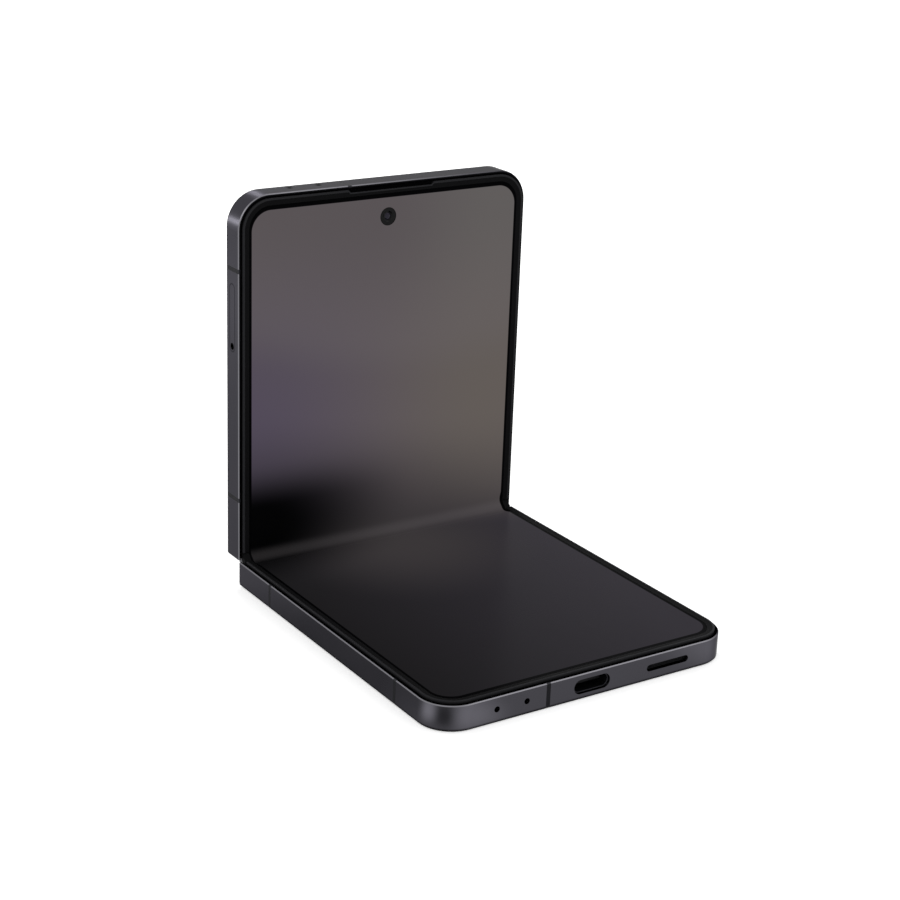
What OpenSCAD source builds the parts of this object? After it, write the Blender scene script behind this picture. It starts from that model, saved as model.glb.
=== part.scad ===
// Foldable smartphone of the clamshell kind, standing half open with one half flat on the table.
// Each half is modelled lying flat: x across, y away from the fold, z up from its back face.

/* [Body] */
// Width of the phone
width = 74; // [68:0.5:80]
// Length of one half, from the fold to its outer end
half_length = 83.2; // [78:0.1:90]
// Height of the metal rim above the back face
rim_height = 5.7; // [5.5:0.05:6.5]
// Radius of the outer corners
corner_r = 7.5; // [6:0.1:11]
// Angle each half has turned from flat about its own axis
half_turn = 45; // [30:1:60]

/* [Frame] */
// Thickness of the side walls
side_wall = 1.6; // [1.5:0.05:2]
// Bright chamfer around the rim
rim_chamfer = 0.2; // [0.15:0.05:0.4]
// Width of the metal rim with its chamfer
rim_lip = 0.5; // [0.45:0.05:0.6]
// Width of the dark groove inside the rim
groove_w = 0.35; // [0.2:0.05:0.5]
// Depth of the dark groove
groove_depth = 0.5; // [0.3:0.05:0.7]
// Chamfer along the back edge
back_chamfer = 0.35; // [0.2:0.05:0.6]
// Rounding of the back edge at the fold
fold_edge_r = 1; // [0.6:0.05:1.1]
// Width of the metal bar across the back at the fold
fold_bar_w = 2.2; // [1.8:0.1:3]
// Thickness of the metal bar and of the ledge under the back glass
fold_bar_t = 1.15; // [1:0.05:1.3]
// Distance of the back glass from the outer side
glass_inset = 0.9; // [0.7:0.05:1.2]
// Thickness of the back glass
glass_t = 0.6; // [0.5:0.05:0.7]
// Width of the ledge that carries the back glass
ledge_w = 2.6; // [2.2:0.1:3.2]
// Thickness of the plate under the display
plate_t = 0.55; // [0.4:0.05:0.7]
// Drop of the plate below the metal rim
plate_drop = 0.05; // [0.05:0.01:0.1]
// Width of an antenna band
band_w = 1; // [0.6:0.05:1.4]
// Distance of the first side band from the fold
band_near_y = 14.4; // [13:0.1:18]
// Distance of the second side band from the outer end
band_far_inset = 16.3; // [13:0.1:17]
// Distance of the lower end band from the middle
lower_band_x = 10.9; // [9:0.1:12.5]
// Distance of the upper end band from the middle
upper_band_x = 9.7; // [6:0.1:12.5]

/* [Display] */
// Width of the bezel
bezel_w = 1.6; // [1.3:0.05:2]
// Height of the bezel above the metal rim
bezel_proud = 0.65; // [0.5:0.05:0.68]
// Width of the raised outer ridge of the bezel
ridge_w = 0.4; // [0.3:0.05:0.6]
// Step down from the ridge to the flat of the bezel
ridge_step = 0.15; // [0.1:0.01:0.2]
// Thickness of the display
display_t = 0.4; // [0.3:0.05:0.42]
// Height of the display above the metal rim
display_proud = 0.4; // [0.3:0.01:0.45]
// Radius of the display's bend, at the middle of its thickness
bend_r = 3; // [2:0.1:4]
// Distance of the flat part of the display from the fold
flat_start = 7; // [6.9:0.05:7.2]
// Length of the earpiece slot
ear_slot_l = 23.7; // [18:0.1:28]
// Depth of the earpiece slot into the bezel
ear_slot_w = 0.6; // [0.4:0.05:0.8]
// Distance of the front camera from the outer end
front_cam_inset = 7.7; // [7.2:0.1:8.2]
// Radius of the hole for the front camera
front_cam_r = 2.05; // [1.6:0.05:2.2]

/* [Hinge] */
// Distance between the two hinge axes
axis_gap = 1.5; // [1.45:0.01:1.6]
// Gap between the two halves when the phone is flat
end_gap = 0.1; // [0.08:0.01:0.2]
// Depth of the spine below its axes
spine_depth = 4.2; // [4:0.05:4.3]
// Wall of the hinge cover
cover_wall = 0.45; // [0.4:0.01:0.5]
// Radius of the rounded back of the hinge cover
cover_back_r = 9; // [8:0.5:14]
// Drop of the cover's long edges below the axes
cover_edge_drop = 1.45; // [1.4:0.01:1.6]
// Clearance between the spine and the side walls
spine_end_clear = 0.3; // [0.2:0.05:0.5]
// Thickness of the cover's end walls
cover_end_wall = 0.8; // [0.6:0.05:1]
// Radius of the caps that bridge the bezels at the fold
cap_r = 1; // [0.8:0.01:1.1]
// Start of each hinge block, from the outer side
block_side = 20; // [18:0.5:23]
// Thickness of the end walls of a hinge block
block_wall = 1; // [0.8:0.05:1.2]
// Thickness of the webs beside the gears
block_web = 0.9; // [0.8:0.05:1.1]
// Width of the arc tongues of the rotators
tongue_w = 3.1; // [2.8:0.05:3.4]
// Thickness of a tongue behind its teeth
tongue_back = 0.28; // [0.24:0.01:0.3]
// Length of the teeth along the axis
gear_w = 1.1; // [0.9:0.05:1.3]
// Pitch radius of the gears
gear_r = 0.7; // [0.69:0.005:0.71]
// Number of teeth of a gear
gear_teeth = 10; // [10:2:12]
// Depth of the gear centres below the axes
gear_drop = 1.75; // [1.73:0.01:1.77]
// Radius of the gears' journals
journal_r = 0.33; // [0.28:0.01:0.35]
// Length of the journals
journal_l = 0.7; // [0.5:0.05:0.75]
// Thickness of the rotators' feet
foot_t = 0.6; // [0.5:0.05:0.65]
// Width of a foot
foot_w = 8; // [7:0.1:9]
// Length of a foot
foot_l = 3.4; // [3:0.1:3.8]
// Drop of a foot's top below the metal rim
foot_drop = 0.65; // [0.63:0.01:0.7]
// Distance of a wing plate's pivot from the fold
wing_pivot_y = 6.5; // [6.4:0.05:6.6]
// Thickness of a wing plate
wing_t = 0.35; // [0.25:0.01:0.36]
// Radius of a wing plate's pivot bead
wing_bead_r = 0.3; // [0.25:0.01:0.31]
// Full tilt of a wing plate
wing_tilt = 20; // [16:1:21]
// Distance of a wing plate's inner edge from the fold
wing_edge_y = 1.2; // [1.1:0.05:2]
// Radius of the hinge screws
screw_r = 0.45; // [0.35:0.05:0.5]
// Radius of the screw heads
screw_head_r = 0.9; // [0.7:0.05:1]
// Height of the screw heads
screw_head_t = 0.3; // [0.2:0.05:0.35]

/* [Lower half] */
// Width of the USB port's shell
usb_w = 8.9; // [8.6:0.05:9.2]
// Height of the USB port's shell
usb_h = 3.1; // [2.9:0.05:3.2]
// Length of the USB port
usb_l = 7; // [6:0.1:8]
// Height of the USB port's middle above the back face
usb_z = 2.9; // [2.8:0.05:3]
// Distance of the speaker slot's middle from the outer side
speaker_side = 17.5; // [17:0.1:19]
// Length of the speaker slot
speaker_slot_l = 10.9; // [8:0.1:12]
// Height of the speaker slot
speaker_slot_h = 1.5; // [1.2:0.05:1.8]
// Width of the loudspeaker
speaker_w = 20; // [16:0.5:20.5]
// Length of the loudspeaker
speaker_l = 13; // [10:0.5:14]
// Distance of the outer microphone from the outer side
mic_side = 13.7; // [13:0.1:15]
// Distance between the microphones
mic_pitch = 7.2; // [6:0.1:8]
// Radius of the microphone holes
mic_r = 0.65; // [0.4:0.05:0.7]
// Distance of the lower battery from the outer end
lower_battery_end = 22.2; // [21:0.1:30]
// Radius of the charging coil
coil_r = 21; // [18:0.5:22]
// Width of the charging coil's winding
coil_w = 9; // [6:0.5:11]

/* [Upper half] */
// Radius of a rear camera's ring
ring_r = 6; // [5.5:0.1:6.5]
// Height of the camera rings behind the back glass
ring_proud = 1.2; // [0.8:0.1:1.5]
// Distance of the rear cameras from the outer side
camera_side = 15; // [13.5:0.1:15.5]
// Distance of the far camera from the outer end
camera_inset = 12.2; // [11:0.1:13]
// Distance between the rear cameras
camera_pitch = 15; // [14.4:0.1:16]
// Distance of the cover display from the outer side
cover_screen_side = 6; // [4:0.1:12]
// Length of the cover display
cover_screen_l = 29; // [24:0.5:30]
// Distance of the upper battery from the outer end
upper_battery_end = 41.2; // [38:0.1:46]
// Length of the power key
power_l = 12; // [10:0.1:12]
// Distance of the power key's middle from the outer end
power_inset = 47.2; // [47:0.1:49]
// Length of the volume rocker
volume_l = 20; // [16:0.1:21]
// Distance of the volume rocker's middle from the outer end
volume_inset = 29.2; // [29:0.1:29.6]
// Height of the side keys
key_h = 2.3; // [1.8:0.05:2.6]
// Travel of the power key
key_travel = 0.25; // [0.15:0.01:0.3]
// Length of the SIM tray's face
tray_l = 15.2; // [14.4:0.1:15.6]
// Height of the SIM tray's face
tray_h = 2.3; // [1.9:0.05:2.4]
// Distance of the SIM tray's middle from the outer end
tray_inset = 27.2; // [26.7:0.1:27.7]
// Depth of the SIM tray into the phone
tray_depth = 14; // [13.5:0.1:14.5]
// Distance of the outer small hole in the top end from the outer side
top_hole_side = 14.2; // [13:0.1:15]
// Distance between the small holes in the top end
top_hole_pitch = 7.1; // [6:0.1:8]

/* [Hidden] */
$fn = 48;

// Colours
METAL = "#45444a";
DARK_METAL = "#2c2c31";
BLACK = "#141416";
GLASS = "#1c1c20";
SCREEN = "#5a5358";
STEEL = "#9a9ca2";
COPPER = "#b0703c";
BOARD = "#1f4d3a";
CELL = "#2b2b2e";
BAND = "#38383c";
CREAM = "#d8d2a8";
AMBER = "#a5682a";

// Named clearances
fit = 0.05;
running_fit = 0.03;
seat_gap = 0.1;
screen_gap = 0.05;

// Outlines shared by the pieces of one half
half_width = width / 2;
fold_end = end_gap / 2;
axis_y = axis_gap / 2;
plate_top = rim_height - plate_drop;
plate_bottom = plate_top - plate_t;
inner_half_width = half_width - side_wall;
block_x = half_width - block_side;
band_far_y = half_length - band_far_inset;
bezel_out = rim_lip + groove_w;
bezel_in = bezel_out + bezel_w;
screen_inset = bezel_in + screen_gap;
screen_half_width = half_width - screen_inset;
screen_top = rim_height + display_proud;
screen_mid = screen_top - display_t / 2;
bezel_start = axis_y + cap_r + seat_gap;
inner_top = plate_bottom - seat_gap;

// Spine
spine_r = rim_height - fold_bar_t - fit;
spine_half_l = inner_half_width - spine_end_clear;
cap_in = half_width - bezel_in;
cap_out = half_width - bezel_out;

// Gear train and rotators
gear_module = 2 * gear_r / gear_teeth;
tooth_pitch = 360 / gear_teeth;
addendum = 0.85 * gear_module;
dedendum = 1.15 * gear_module;
backlash = 0.05;
pressure_angle = 20;
tooth_arc = PI * gear_module / 2;
pinion_y = 3 * gear_r;
sector_r = gear_r + norm([pinion_y - axis_y, gear_drop]);
sector_angle = atan2(gear_drop, pinion_y - axis_y);
sector_ratio = gear_r / sector_r;
tongue_in = sector_r - addendum;
tongue_out = sector_r + dedendum + tongue_back;
tongue_lead = 12;
tongue_tail = 158;
gear_turn = half_turn / sector_ratio;
gear_pocket_r = gear_r + addendum + fit;
core_wall = 0.13;
core_top = gear_drop - gear_pocket_r - core_wall;

// Places along a hinge block
channel_w = tongue_w + 2 * fit;
gear_slot_w = gear_w + 2 * fit;
lower_channel = block_wall;
web_a = lower_channel + channel_w;
gear_slot = web_a + block_web;
web_b = gear_slot + gear_slot_w;
upper_channel = web_b + block_web;
block_l = upper_channel + channel_w + block_wall;
pinion_reach = 1;

// Feet of the rotators and their pocket in the frame
foot_top = rim_height - foot_drop;
foot_bottom = foot_top - foot_t;
foot_floor_t = 0.55;
bead_wall = 0.2;
foot_start = wing_pivot_y + wing_bead_r + 2 * bead_wall;
foot_end = foot_start + foot_l;
screw_spread = 0.65 * foot_w / 2;
screw_y = foot_start + foot_l / 2;

// Wing plates
wing_top = plate_top;
wing_pivot_z = wing_top - wing_t;
wing_end_y = wing_pivot_y + wing_bead_r / 2;
wing_half_l = screen_half_width - wing_bead_r;
wing_step_y = wing_pivot_y - 2 * bead_wall;
wing_pin_l = 0.5;
wing_pad_top = wing_pivot_z - wing_bead_r - running_fit;
step_start = wing_pivot_y + wing_bead_r + bead_wall;
step_end = step_start + foot_t;
step_bottom = foot_bottom - fit;
wing_rest_tilt = wing_tilt * half_turn / 90;

// Inner pieces
board_t = 0.7;
board_z = 2.7;
battery_bottom = 1.7;
battery_start = 13;
lower_battery_l = half_length - battery_start - lower_battery_end;
upper_battery_l = half_length - battery_start - upper_battery_end;
speaker_x = half_width - speaker_side;
mic_outer_x = half_width - mic_side;
mic_inner_x = mic_outer_x - mic_pitch;
top_hole_outer_x = half_width - top_hole_side;
top_hole_inner_x = top_hole_outer_x - top_hole_pitch;
front_cam_y = half_length - front_cam_inset;
camera_x = half_width - camera_side;
camera_y = half_length - camera_inset;
power_y = half_length - power_inset;
volume_y = half_length - volume_inset;
tray_y = half_length - tray_inset;
back_inner = glass_t + fit;
sheet_t = 0.3;
key_z = rim_height / 2;
board_gap = 1;
tray_drop = 2.9;
tray_z = rim_height - tray_drop;
mic_z = 3;
top_hole_r = 0.4;
top_hole_drop = 3.45;
top_hole_z = rim_height - top_hole_drop;
usb_recess = 0.5;
usb_wall = 0.25;
usb_front = half_length - usb_recess;
camera_body_w = 9.6;
ring_wall = 1.2;
lens_r = ring_r - ring_wall - running_fit;
ring_flange = 0.8;
lens_recess = 0.2;
flash_pitch = 10.5;
flash_y = camera_y - camera_pitch - flash_pitch;
flash_r = 1.8;
cover_screen_gap = 3;
cover_screen_inset = 4.2;
cover_screen_w = camera_x - ring_r - cover_screen_gap + half_width - cover_screen_side;
cover_screen_x = camera_x - ring_r - cover_screen_gap - cover_screen_w / 2;
cover_screen_y = half_length - cover_screen_inset - cover_screen_l / 2;
ear_x = 0.6;
reader_wall = 0.2;
tray_board_t = 0.9;
tray_clear = 0.1;
reader_l = tray_l + 2 * reader_wall + 2 * tray_clear;
reader_end_x = inner_half_width - tray_depth - 2 * tray_clear;
main_board_from = [-reader_end_x + board_gap / 2, battery_start + upper_battery_l + board_gap];
board_camera_gap = 2.7;
main_board_to = [camera_x - camera_body_w / 2 - board_camera_gap, half_length - ledge_w - board_gap];
front_hole = front_cam_r + board_gap;
face_t = 0.9;
flange_t = 0.4;
flange_lip = 0.5;
flange_rise = 0.2;
rocker_gap = 0.2;
strip_t = 0.4;
dome_h = 0.7;
flange_in = inner_half_width - fit - flange_t;
dome_top = flange_in - key_travel - fit;
strip_x = dome_top - dome_h;

// Cable across the fold: first points given in the half, then points given in the spine, mirrored
flex_half_w = 6;
flex_t = 0.15;
flex_in_half = [
    [12.3, rim_height - plate_bottom + 2 * seat_gap], [8.6, rim_height - plate_bottom + 3 * seat_gap],
    [7.8, 1.6], [5.6, 1.8]
];
flex_in_spine = [[-3.6, -0.9], [-1.6, -2.4]];
flex_side = concat([for (p = flex_in_half) in_spine(p[0], p[1])], flex_in_spine);
flex_points = concat(flex_side, [for (k = [len(flex_side) - 1:-1:0]) [-flex_side[k][0], flex_side[k][1]]]);

// ---------------------------------------------------------------- placing

// The origin is the middle of the lower half's back face, so the fold lies half a length behind it
module from_fold() {
    translate([0, half_length / 2, 0])
        children();
}

// Turns the spine from flat to its place between the halves
module spine_turn() {
    from_fold()
        translate([0, -axis_y, rim_height])
            rotate([half_turn, 0, 0])
                translate([0, axis_y, -rim_height])
                    children();
}

module on_lower() {
    from_fold()
        rotate([0, 0, 180])
            children();
}

module on_upper() {
    spine_turn()
        translate([0, axis_y, rim_height])
            rotate([half_turn, 0, 0])
                translate([0, -axis_y, -rim_height])
                    children();
}

// The spine's own frame: y across the axes, z up, with its middle between the axes at 0
module on_spine() {
    spine_turn()
        translate([0, 0, rim_height])
            children();
}

module both_sides() {
    children();
    mirror([1, 0, 0])
        children();
}

// Extrudes a section drawn in y and z along x
module along_x(from, to) {
    translate([from, 0, 0])
        rotate([90, 0, 90])
            linear_extrude(to - from)
                children();
}

module rod_x(from, to, r, y, z) {
    along_x(from, to)
        translate([y, z])
            circle(r);
}

module box(x, y, z) {
    translate([x[0], y[0], z[0]])
        cube([x[1] - x[0], y[1] - y[0], z[1] - z[0]]);
}

module stadium(l, w) {
    square([l - w, w], center = true);
    for (end = [-1, 1])
        translate([end * (l - w) / 2, 0])
            circle(d = w);
}

// ---------------------------------------------------------------- outline of a half

// Plan of a half, drawn in by inset, from y = start to its rounded outer end
module half_plan(inset, start) {
    corner_x = half_width - corner_r;
    corner_y = half_length - corner_r;
    translate([-half_width + inset, start])
        square([width - 2 * inset, corner_y - start]);
    translate([-corner_x, start])
        square([2 * corner_x, half_length - inset - start]);
    for (side = [-1, 1])
        translate([side * corner_x, corner_y])
            circle(corner_r - inset);
}

// Sweeps a section, drawn as distance from the outer side and height, around a half
module around_half(start) {
    corner_x = half_width - corner_r;
    corner_y = half_length - corner_r;
    both_sides() {
        translate([-half_width, corner_y, 0])
            rotate([90, 0, 0])
                linear_extrude(corner_y - start)
                    children();
        translate([-corner_x, corner_y, 0])
            rotate([0, 0, 90])
                rotate_extrude(angle = 90)
                    translate([corner_r, 0])
                        mirror([1, 0])
                            children();
    }
    translate([-corner_x, half_length, 0])
        mirror([0, 1, 0])
            rotate([90, 0, 90])
                linear_extrude(2 * corner_x)
                    children();
}

module rail_section() {
    polygon([
        [back_chamfer, 0], [glass_inset, 0], [glass_inset, glass_t], [ledge_w, glass_t],
        [ledge_w, fold_bar_t], [side_wall, fold_bar_t], [side_wall, plate_top],
        [bezel_out, plate_top], [bezel_out, rim_height - groove_depth],
        [rim_lip, rim_height - groove_depth], [rim_lip, rim_height], [rim_chamfer, rim_height],
        [0, rim_height - rim_chamfer], [0, back_chamfer]
    ]);
}

module band_section() {
    intersection() {
        rail_section();
        square([bezel_out, rim_height]);
    }
}

module bezel_section() {
    flat = rim_height + bezel_proud - ridge_step;
    polygon([
        [bezel_out, plate_top], [bezel_in, plate_top], [bezel_in, flat - seat_gap / 2],
        [bezel_out + ridge_w + seat_gap, flat], [bezel_out + ridge_w, flat + ridge_step],
        [bezel_out + seat_gap, flat + ridge_step], [bezel_out, flat + ridge_step - seat_gap]
    ]);
}

// One antenna band across a side rail, or the room for it
module side_band(y, room) {
    translate([-half_width, y + band_w / 2, 0])
        rotate([90, 0, 0])
            linear_extrude(band_w)
                if (room) square([2 * bezel_out, 3 * rim_height], center = true);
                else band_section();
}

module end_band(x, room) {
    translate([x - band_w / 2, half_length, 0])
        mirror([0, 1, 0])
            rotate([90, 0, 90])
                linear_extrude(band_w)
                    if (room) square([2 * bezel_out, 3 * rim_height], center = true);
                    else band_section();
}

module bands(end_x, room) {
    both_sides() {
        side_band(band_near_y, room);
        side_band(band_far_y, room);
    }
    end_band(end_x, room);
}

// ---------------------------------------------------------------- hinge pieces

// Section of the spine: two rounds about the axes, cut by the rounded back and the long edges
module spine_section(inset, top) {
    reach = spine_r - inset;
    intersection() {
        union() {
            for (side = [-1, 1])
                translate([side * axis_y, 0])
                    circle(reach);
            square([axis_gap, 2 * reach], center = true);
        }
        translate([0, cover_back_r - spine_depth])
            circle(cover_back_r - inset);
        translate([-2 * spine_r, -2 * spine_r - top])
            square([4 * spine_r, 2 * spine_r]);
    }
}

// Centres of the four gears of a train, across the axes
function gear_y(i) = (2 * i - 3) * gear_r;

// Angle of one tooth of gear i when the phone is flat; each gear's tooth meets a space of the next
function tooth_angle(i) = i == 0 ? 0 : 180 - tooth_angle(i - 1) + tooth_pitch / 2;

function polar(r, a) = [r * cos(a), r * sin(a)];

// Half of a tooth's width at a distance above the pitch circle
function half_tooth(above) = tooth_arc / 2 - backlash / 2 - above * tan(pressure_angle);

module gear_section(angle) {
    root = gear_r - dedendum;
    tip = gear_r + addendum;
    root_half = half_tooth(-dedendum) / root * 180 / PI;
    tip_half = half_tooth(addendum) / tip * 180 / PI;
    polygon([
        for (k = [0:gear_teeth - 1])
            for (corner = [[root, -root_half], [tip, -tip_half], [tip, tip_half], [root, root_half]])
                polar(corner[0], angle + k * tooth_pitch + corner[1])
    ]);
}

// Middles of the spaces between a rotator's inner teeth, from one angle to another
function sector_spaces(mesh_angle, tooth, from, to) = [
    for (k = [ceil(((from - mesh_angle) / sector_ratio + mesh_angle - tooth) / tooth_pitch) :
              floor(((to - mesh_angle) / sector_ratio + mesh_angle - tooth) / tooth_pitch)])
        mesh_angle + (tooth + k * tooth_pitch - mesh_angle) * sector_ratio
];

module sector_space(angle) {
    mouth = tongue_in - seat_gap;
    root = sector_r + dedendum;
    mouth_half = (half_tooth(mouth - sector_r) + backlash) / mouth * 180 / PI;
    root_half = (half_tooth(dedendum) + backlash) / root * 180 / PI;
    polygon([
        polar(mouth, angle - mouth_half), polar(root, angle - root_half),
        polar(root, angle + root_half), polar(mouth, angle + mouth_half)
    ]);
}

// Plain section of a rotator's tongue, about its axis
module tongue_section() {
    far = 2 * tongue_out;
    intersection() {
        difference() {
            circle(tongue_out);
            circle(tongue_in);
        }
        polygon(concat([[0, 0]], [for (k = [0:4])
            polar(far, -tongue_tail + k * (tongue_tail - tongue_lead) / 4)]));
    }
}

// A rotator in the frame of its half: arc tongue with inner teeth, neck and screwed foot
module rotator(from, toothed_from, spaces) {
    middle = from + fit + tongue_w / 2;
    tongue_end = from + fit + tongue_w;
    teeth_end = toothed_from + pinion_reach;
    difference() {
        union() {
            along_x(from + fit, tongue_end)
                translate([axis_y, rim_height])
                    tongue_section();
            box([from + fit, tongue_end], [axis_y + tongue_in, foot_start + fit],
                [foot_bottom, foot_top]);
            box([middle - foot_w / 2, middle + foot_w / 2], [foot_start, foot_end],
                [foot_bottom, foot_top]);
        }
        along_x(toothed_from, teeth_end)
            translate([axis_y, rim_height])
                for (angle = spaces)
                    sector_space(angle);
        for (side = [-1, 1])
            translate([middle + side * screw_spread, screw_y, foot_bottom - foot_t])
                cylinder(r = screw_r + fit, h = 3 * foot_t);
    }
}

// The lower half's own frame runs the other way across the axes, so its angles are turned over
function lower_spaces() = [
    for (angle = sector_spaces(180 + sector_angle, tooth_angle(0),
                               180 + tongue_lead, 180 + tongue_tail))
        180 - angle
];
function upper_spaces() = sector_spaces(-sector_angle, tooth_angle(3), -tongue_tail, -tongue_lead);

module lower_rotators() {
    color(STEEL)
        on_lower()
            both_sides()
                rotator(block_x + lower_channel, block_x + web_a - fit - pinion_reach, lower_spaces());
}

module upper_rotators() {
    color(STEEL)
        on_upper()
            both_sides()
                rotator(block_x + upper_channel, block_x + upper_channel + fit, upper_spaces());
}

module hinge_screws(from) {
    middle = from + fit + tongue_w / 2;
    both_sides()
        for (side = [-1, 1])
            translate([middle + side * screw_spread, screw_y, foot_top]) {
                cylinder(r = screw_head_r, h = screw_head_t);
                translate([0, 0, -foot_t - foot_floor_t / 2])
                    cylinder(r = screw_r, h = foot_t + foot_floor_t / 2 + screw_head_t / 2);
            }
}

module lower_hinge_screws() {
    color(STEEL)
        on_lower()
            hinge_screws(block_x + lower_channel);
}

module upper_hinge_screws() {
    color(STEEL)
        on_upper()
            hinge_screws(block_x + upper_channel);
}

// A tilting plate under the bend of the display, slotted over the rotators of its half
module wing_plate(from) {
    slot = [from + fit - seat_gap * 2, from + fit + tongue_w + seat_gap * 2];
    translate([0, wing_pivot_y, wing_pivot_z])
        rotate([wing_rest_tilt, 0, 0])
            translate([0, -wing_pivot_y, -wing_pivot_z])
                difference() {
                    union() {
                        box([-wing_half_l, wing_half_l], [wing_edge_y, wing_end_y],
                            [wing_top - wing_t, wing_top]);
                        rod_x(-inner_half_width - wing_pin_l, inner_half_width + wing_pin_l,
                            wing_bead_r, wing_pivot_y, wing_pivot_z);
                    }
                    both_sides() {
                        box(slot, [wing_edge_y - wing_t, wing_step_y],
                            [wing_top - 2 * wing_t, wing_top + wing_t]);
                        box(slot, [wing_step_y - fit, step_start],
                            [wing_top - 4 * wing_t, wing_top - wing_t]);
                    }
                }
}

module lower_wing_plate() {
    color(STEEL)
        on_lower()
            wing_plate(block_x + lower_channel);
}

module upper_wing_plate() {
    color(STEEL)
        on_upper()
            wing_plate(block_x + upper_channel);
}

module hinge_cover() {
    color(DARK_METAL)
        on_spine() {
            along_x(-spine_half_l, spine_half_l)
                difference() {
                    spine_section(0, cover_edge_drop);
                    spine_section(cover_wall, 0);
                }
            both_sides()
                along_x(spine_half_l - cover_end_wall, spine_half_l) {
                    spine_section(0, cover_edge_drop);
                    intersection() {
                        spine_section(0, core_top);
                        square([2 * axis_gap, 2 * spine_r], center = true);
                    }
                }
        }
}

// Block with an annular channel for each rotator and the gear train between them
module hinge_block() {
    core_half = axis_y + tongue_in - fit;
    floor_r = tongue_in - fit;
    difference() {
        along_x(0, block_l) {
            spine_section(cover_wall + running_fit, cover_edge_drop + fit);
            intersection() {
                spine_section(cover_wall + running_fit, core_top);
                square([2 * core_half, 2 * spine_r], center = true);
            }
        }
        for (channel = [[lower_channel, -axis_y], [upper_channel, axis_y]])
            along_x(channel[0], channel[0] + channel_w)
                translate([channel[1], 0])
                    difference() {
                        circle(tongue_out + fit);
                        circle(floor_r);
                    }
        for (i = [0:3])
            rod_x(gear_from(i) - fit, gear_to(i) + fit, gear_pocket_r, gear_y(i), -gear_drop);
        for (i = [0:3])
            rod_x(gear_from(i) - fit - journal_l, gear_to(i) + fit + journal_l,
                journal_r + running_fit, gear_y(i), -gear_drop);
    }
}

// The outer gears reach into the channel of their rotator, the inner two stay between the webs
function gear_from(i) = i == 0 ? web_a - pinion_reach : gear_slot + fit;
function gear_to(i) = i == 3 ? upper_channel + pinion_reach : web_b - fit;

module hinge_blocks() {
    color(STEEL)
        on_spine()
            both_sides()
                translate([block_x, 0, 0])
                    hinge_block();
}

// Gear i of both trains, turned with the fold: neighbours turn opposite ways
module gear_pair(i) {
    turn = (i % 2 == 0 ? -1 : 1) * gear_turn;
    on_spine()
        both_sides()
            translate([block_x, 0, 0]) {
                along_x(gear_from(i), gear_to(i))
                    translate([gear_y(i), -gear_drop])
                        gear_section(tooth_angle(i) + turn);
                rod_x(gear_from(i) - journal_l, gear_to(i) + journal_l, journal_r,
                    gear_y(i), -gear_drop);
            }
}

module lower_pinions() {
    color(STEEL)
        gear_pair(0);
}

module lower_idlers() {
    color(COPPER)
        gear_pair(1);
}

module upper_idlers() {
    color(COPPER)
        gear_pair(2);
}

module upper_pinions() {
    color(STEEL)
        gear_pair(3);
}

// Caps round about both axes, so the gap to each bezel stays even, cut level with the bezels
module fold_caps() {
    color(BLACK)
        on_spine()
            both_sides()
                along_x(cap_in + fit, cap_out)
                    intersection() {
                        stadium(axis_gap + 2 * cap_r, 2 * cap_r);
                        translate([-axis_y - cap_r, -core_top])
                            square([axis_gap + 2 * cap_r, core_top + bezel_proud]);
                    }
}

// ---------------------------------------------------------------- display

// Place where the two display planes cross, along a half, and where the bend starts
fold_cross_y = axis_y - (axis_y * cos(half_turn)
    - (screen_mid - rim_height - axis_y * sin(half_turn)) * tan(half_turn));
bend_start = fold_cross_y + bend_r * tan(half_turn);

module flat_strip() {
    box([-screen_half_width, screen_half_width], [bend_start, flat_start],
        [screen_top - display_t, screen_top]);
}

module fold_display() {
    color(SCREEN) {
        on_lower()
            flat_strip();
        on_upper()
            flat_strip();
        from_fold()
            translate([-screen_half_width, -bend_start, screen_mid + bend_r])
                rotate([0, 90, 0])
                    rotate_extrude(angle = 2 * half_turn)
                        translate([bend_r - display_t / 2, 0])
                            square([display_t, 2 * screen_half_width]);
    }
}

module flat_screen() {
    translate([0, 0, screen_top - display_t])
        linear_extrude(display_t)
            half_plan(screen_inset, flat_start + fit);
}

module lower_display() {
    color(SCREEN)
        on_lower()
            flat_screen();
}

module upper_display() {
    color(SCREEN)
        on_upper()
            difference() {
                flat_screen();
                translate([0, front_cam_y, rim_height - display_t])
                    cylinder(r = front_cam_r + fit, h = 3 * display_t);
            }
}

// ---------------------------------------------------------------- frame of a half

module fold_corner_cut() {
    along_x(-width, width)
        difference() {
            translate([fold_end - fold_edge_r, -fold_edge_r])
                square(2 * fold_edge_r);
            translate([fold_end + fold_edge_r, fold_edge_r])
                circle(fold_edge_r);
        }
}

module cap_notch() {
    notch_r = cap_r + seat_gap;
    both_sides() {
        rod_x(cap_in - seat_gap, cap_out + seat_gap, notch_r, axis_y, rim_height);
        box([cap_in - seat_gap, cap_out + seat_gap], [-notch_r, axis_y],
            [rim_height - notch_r, rim_height + notch_r]);
    }
}

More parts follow.
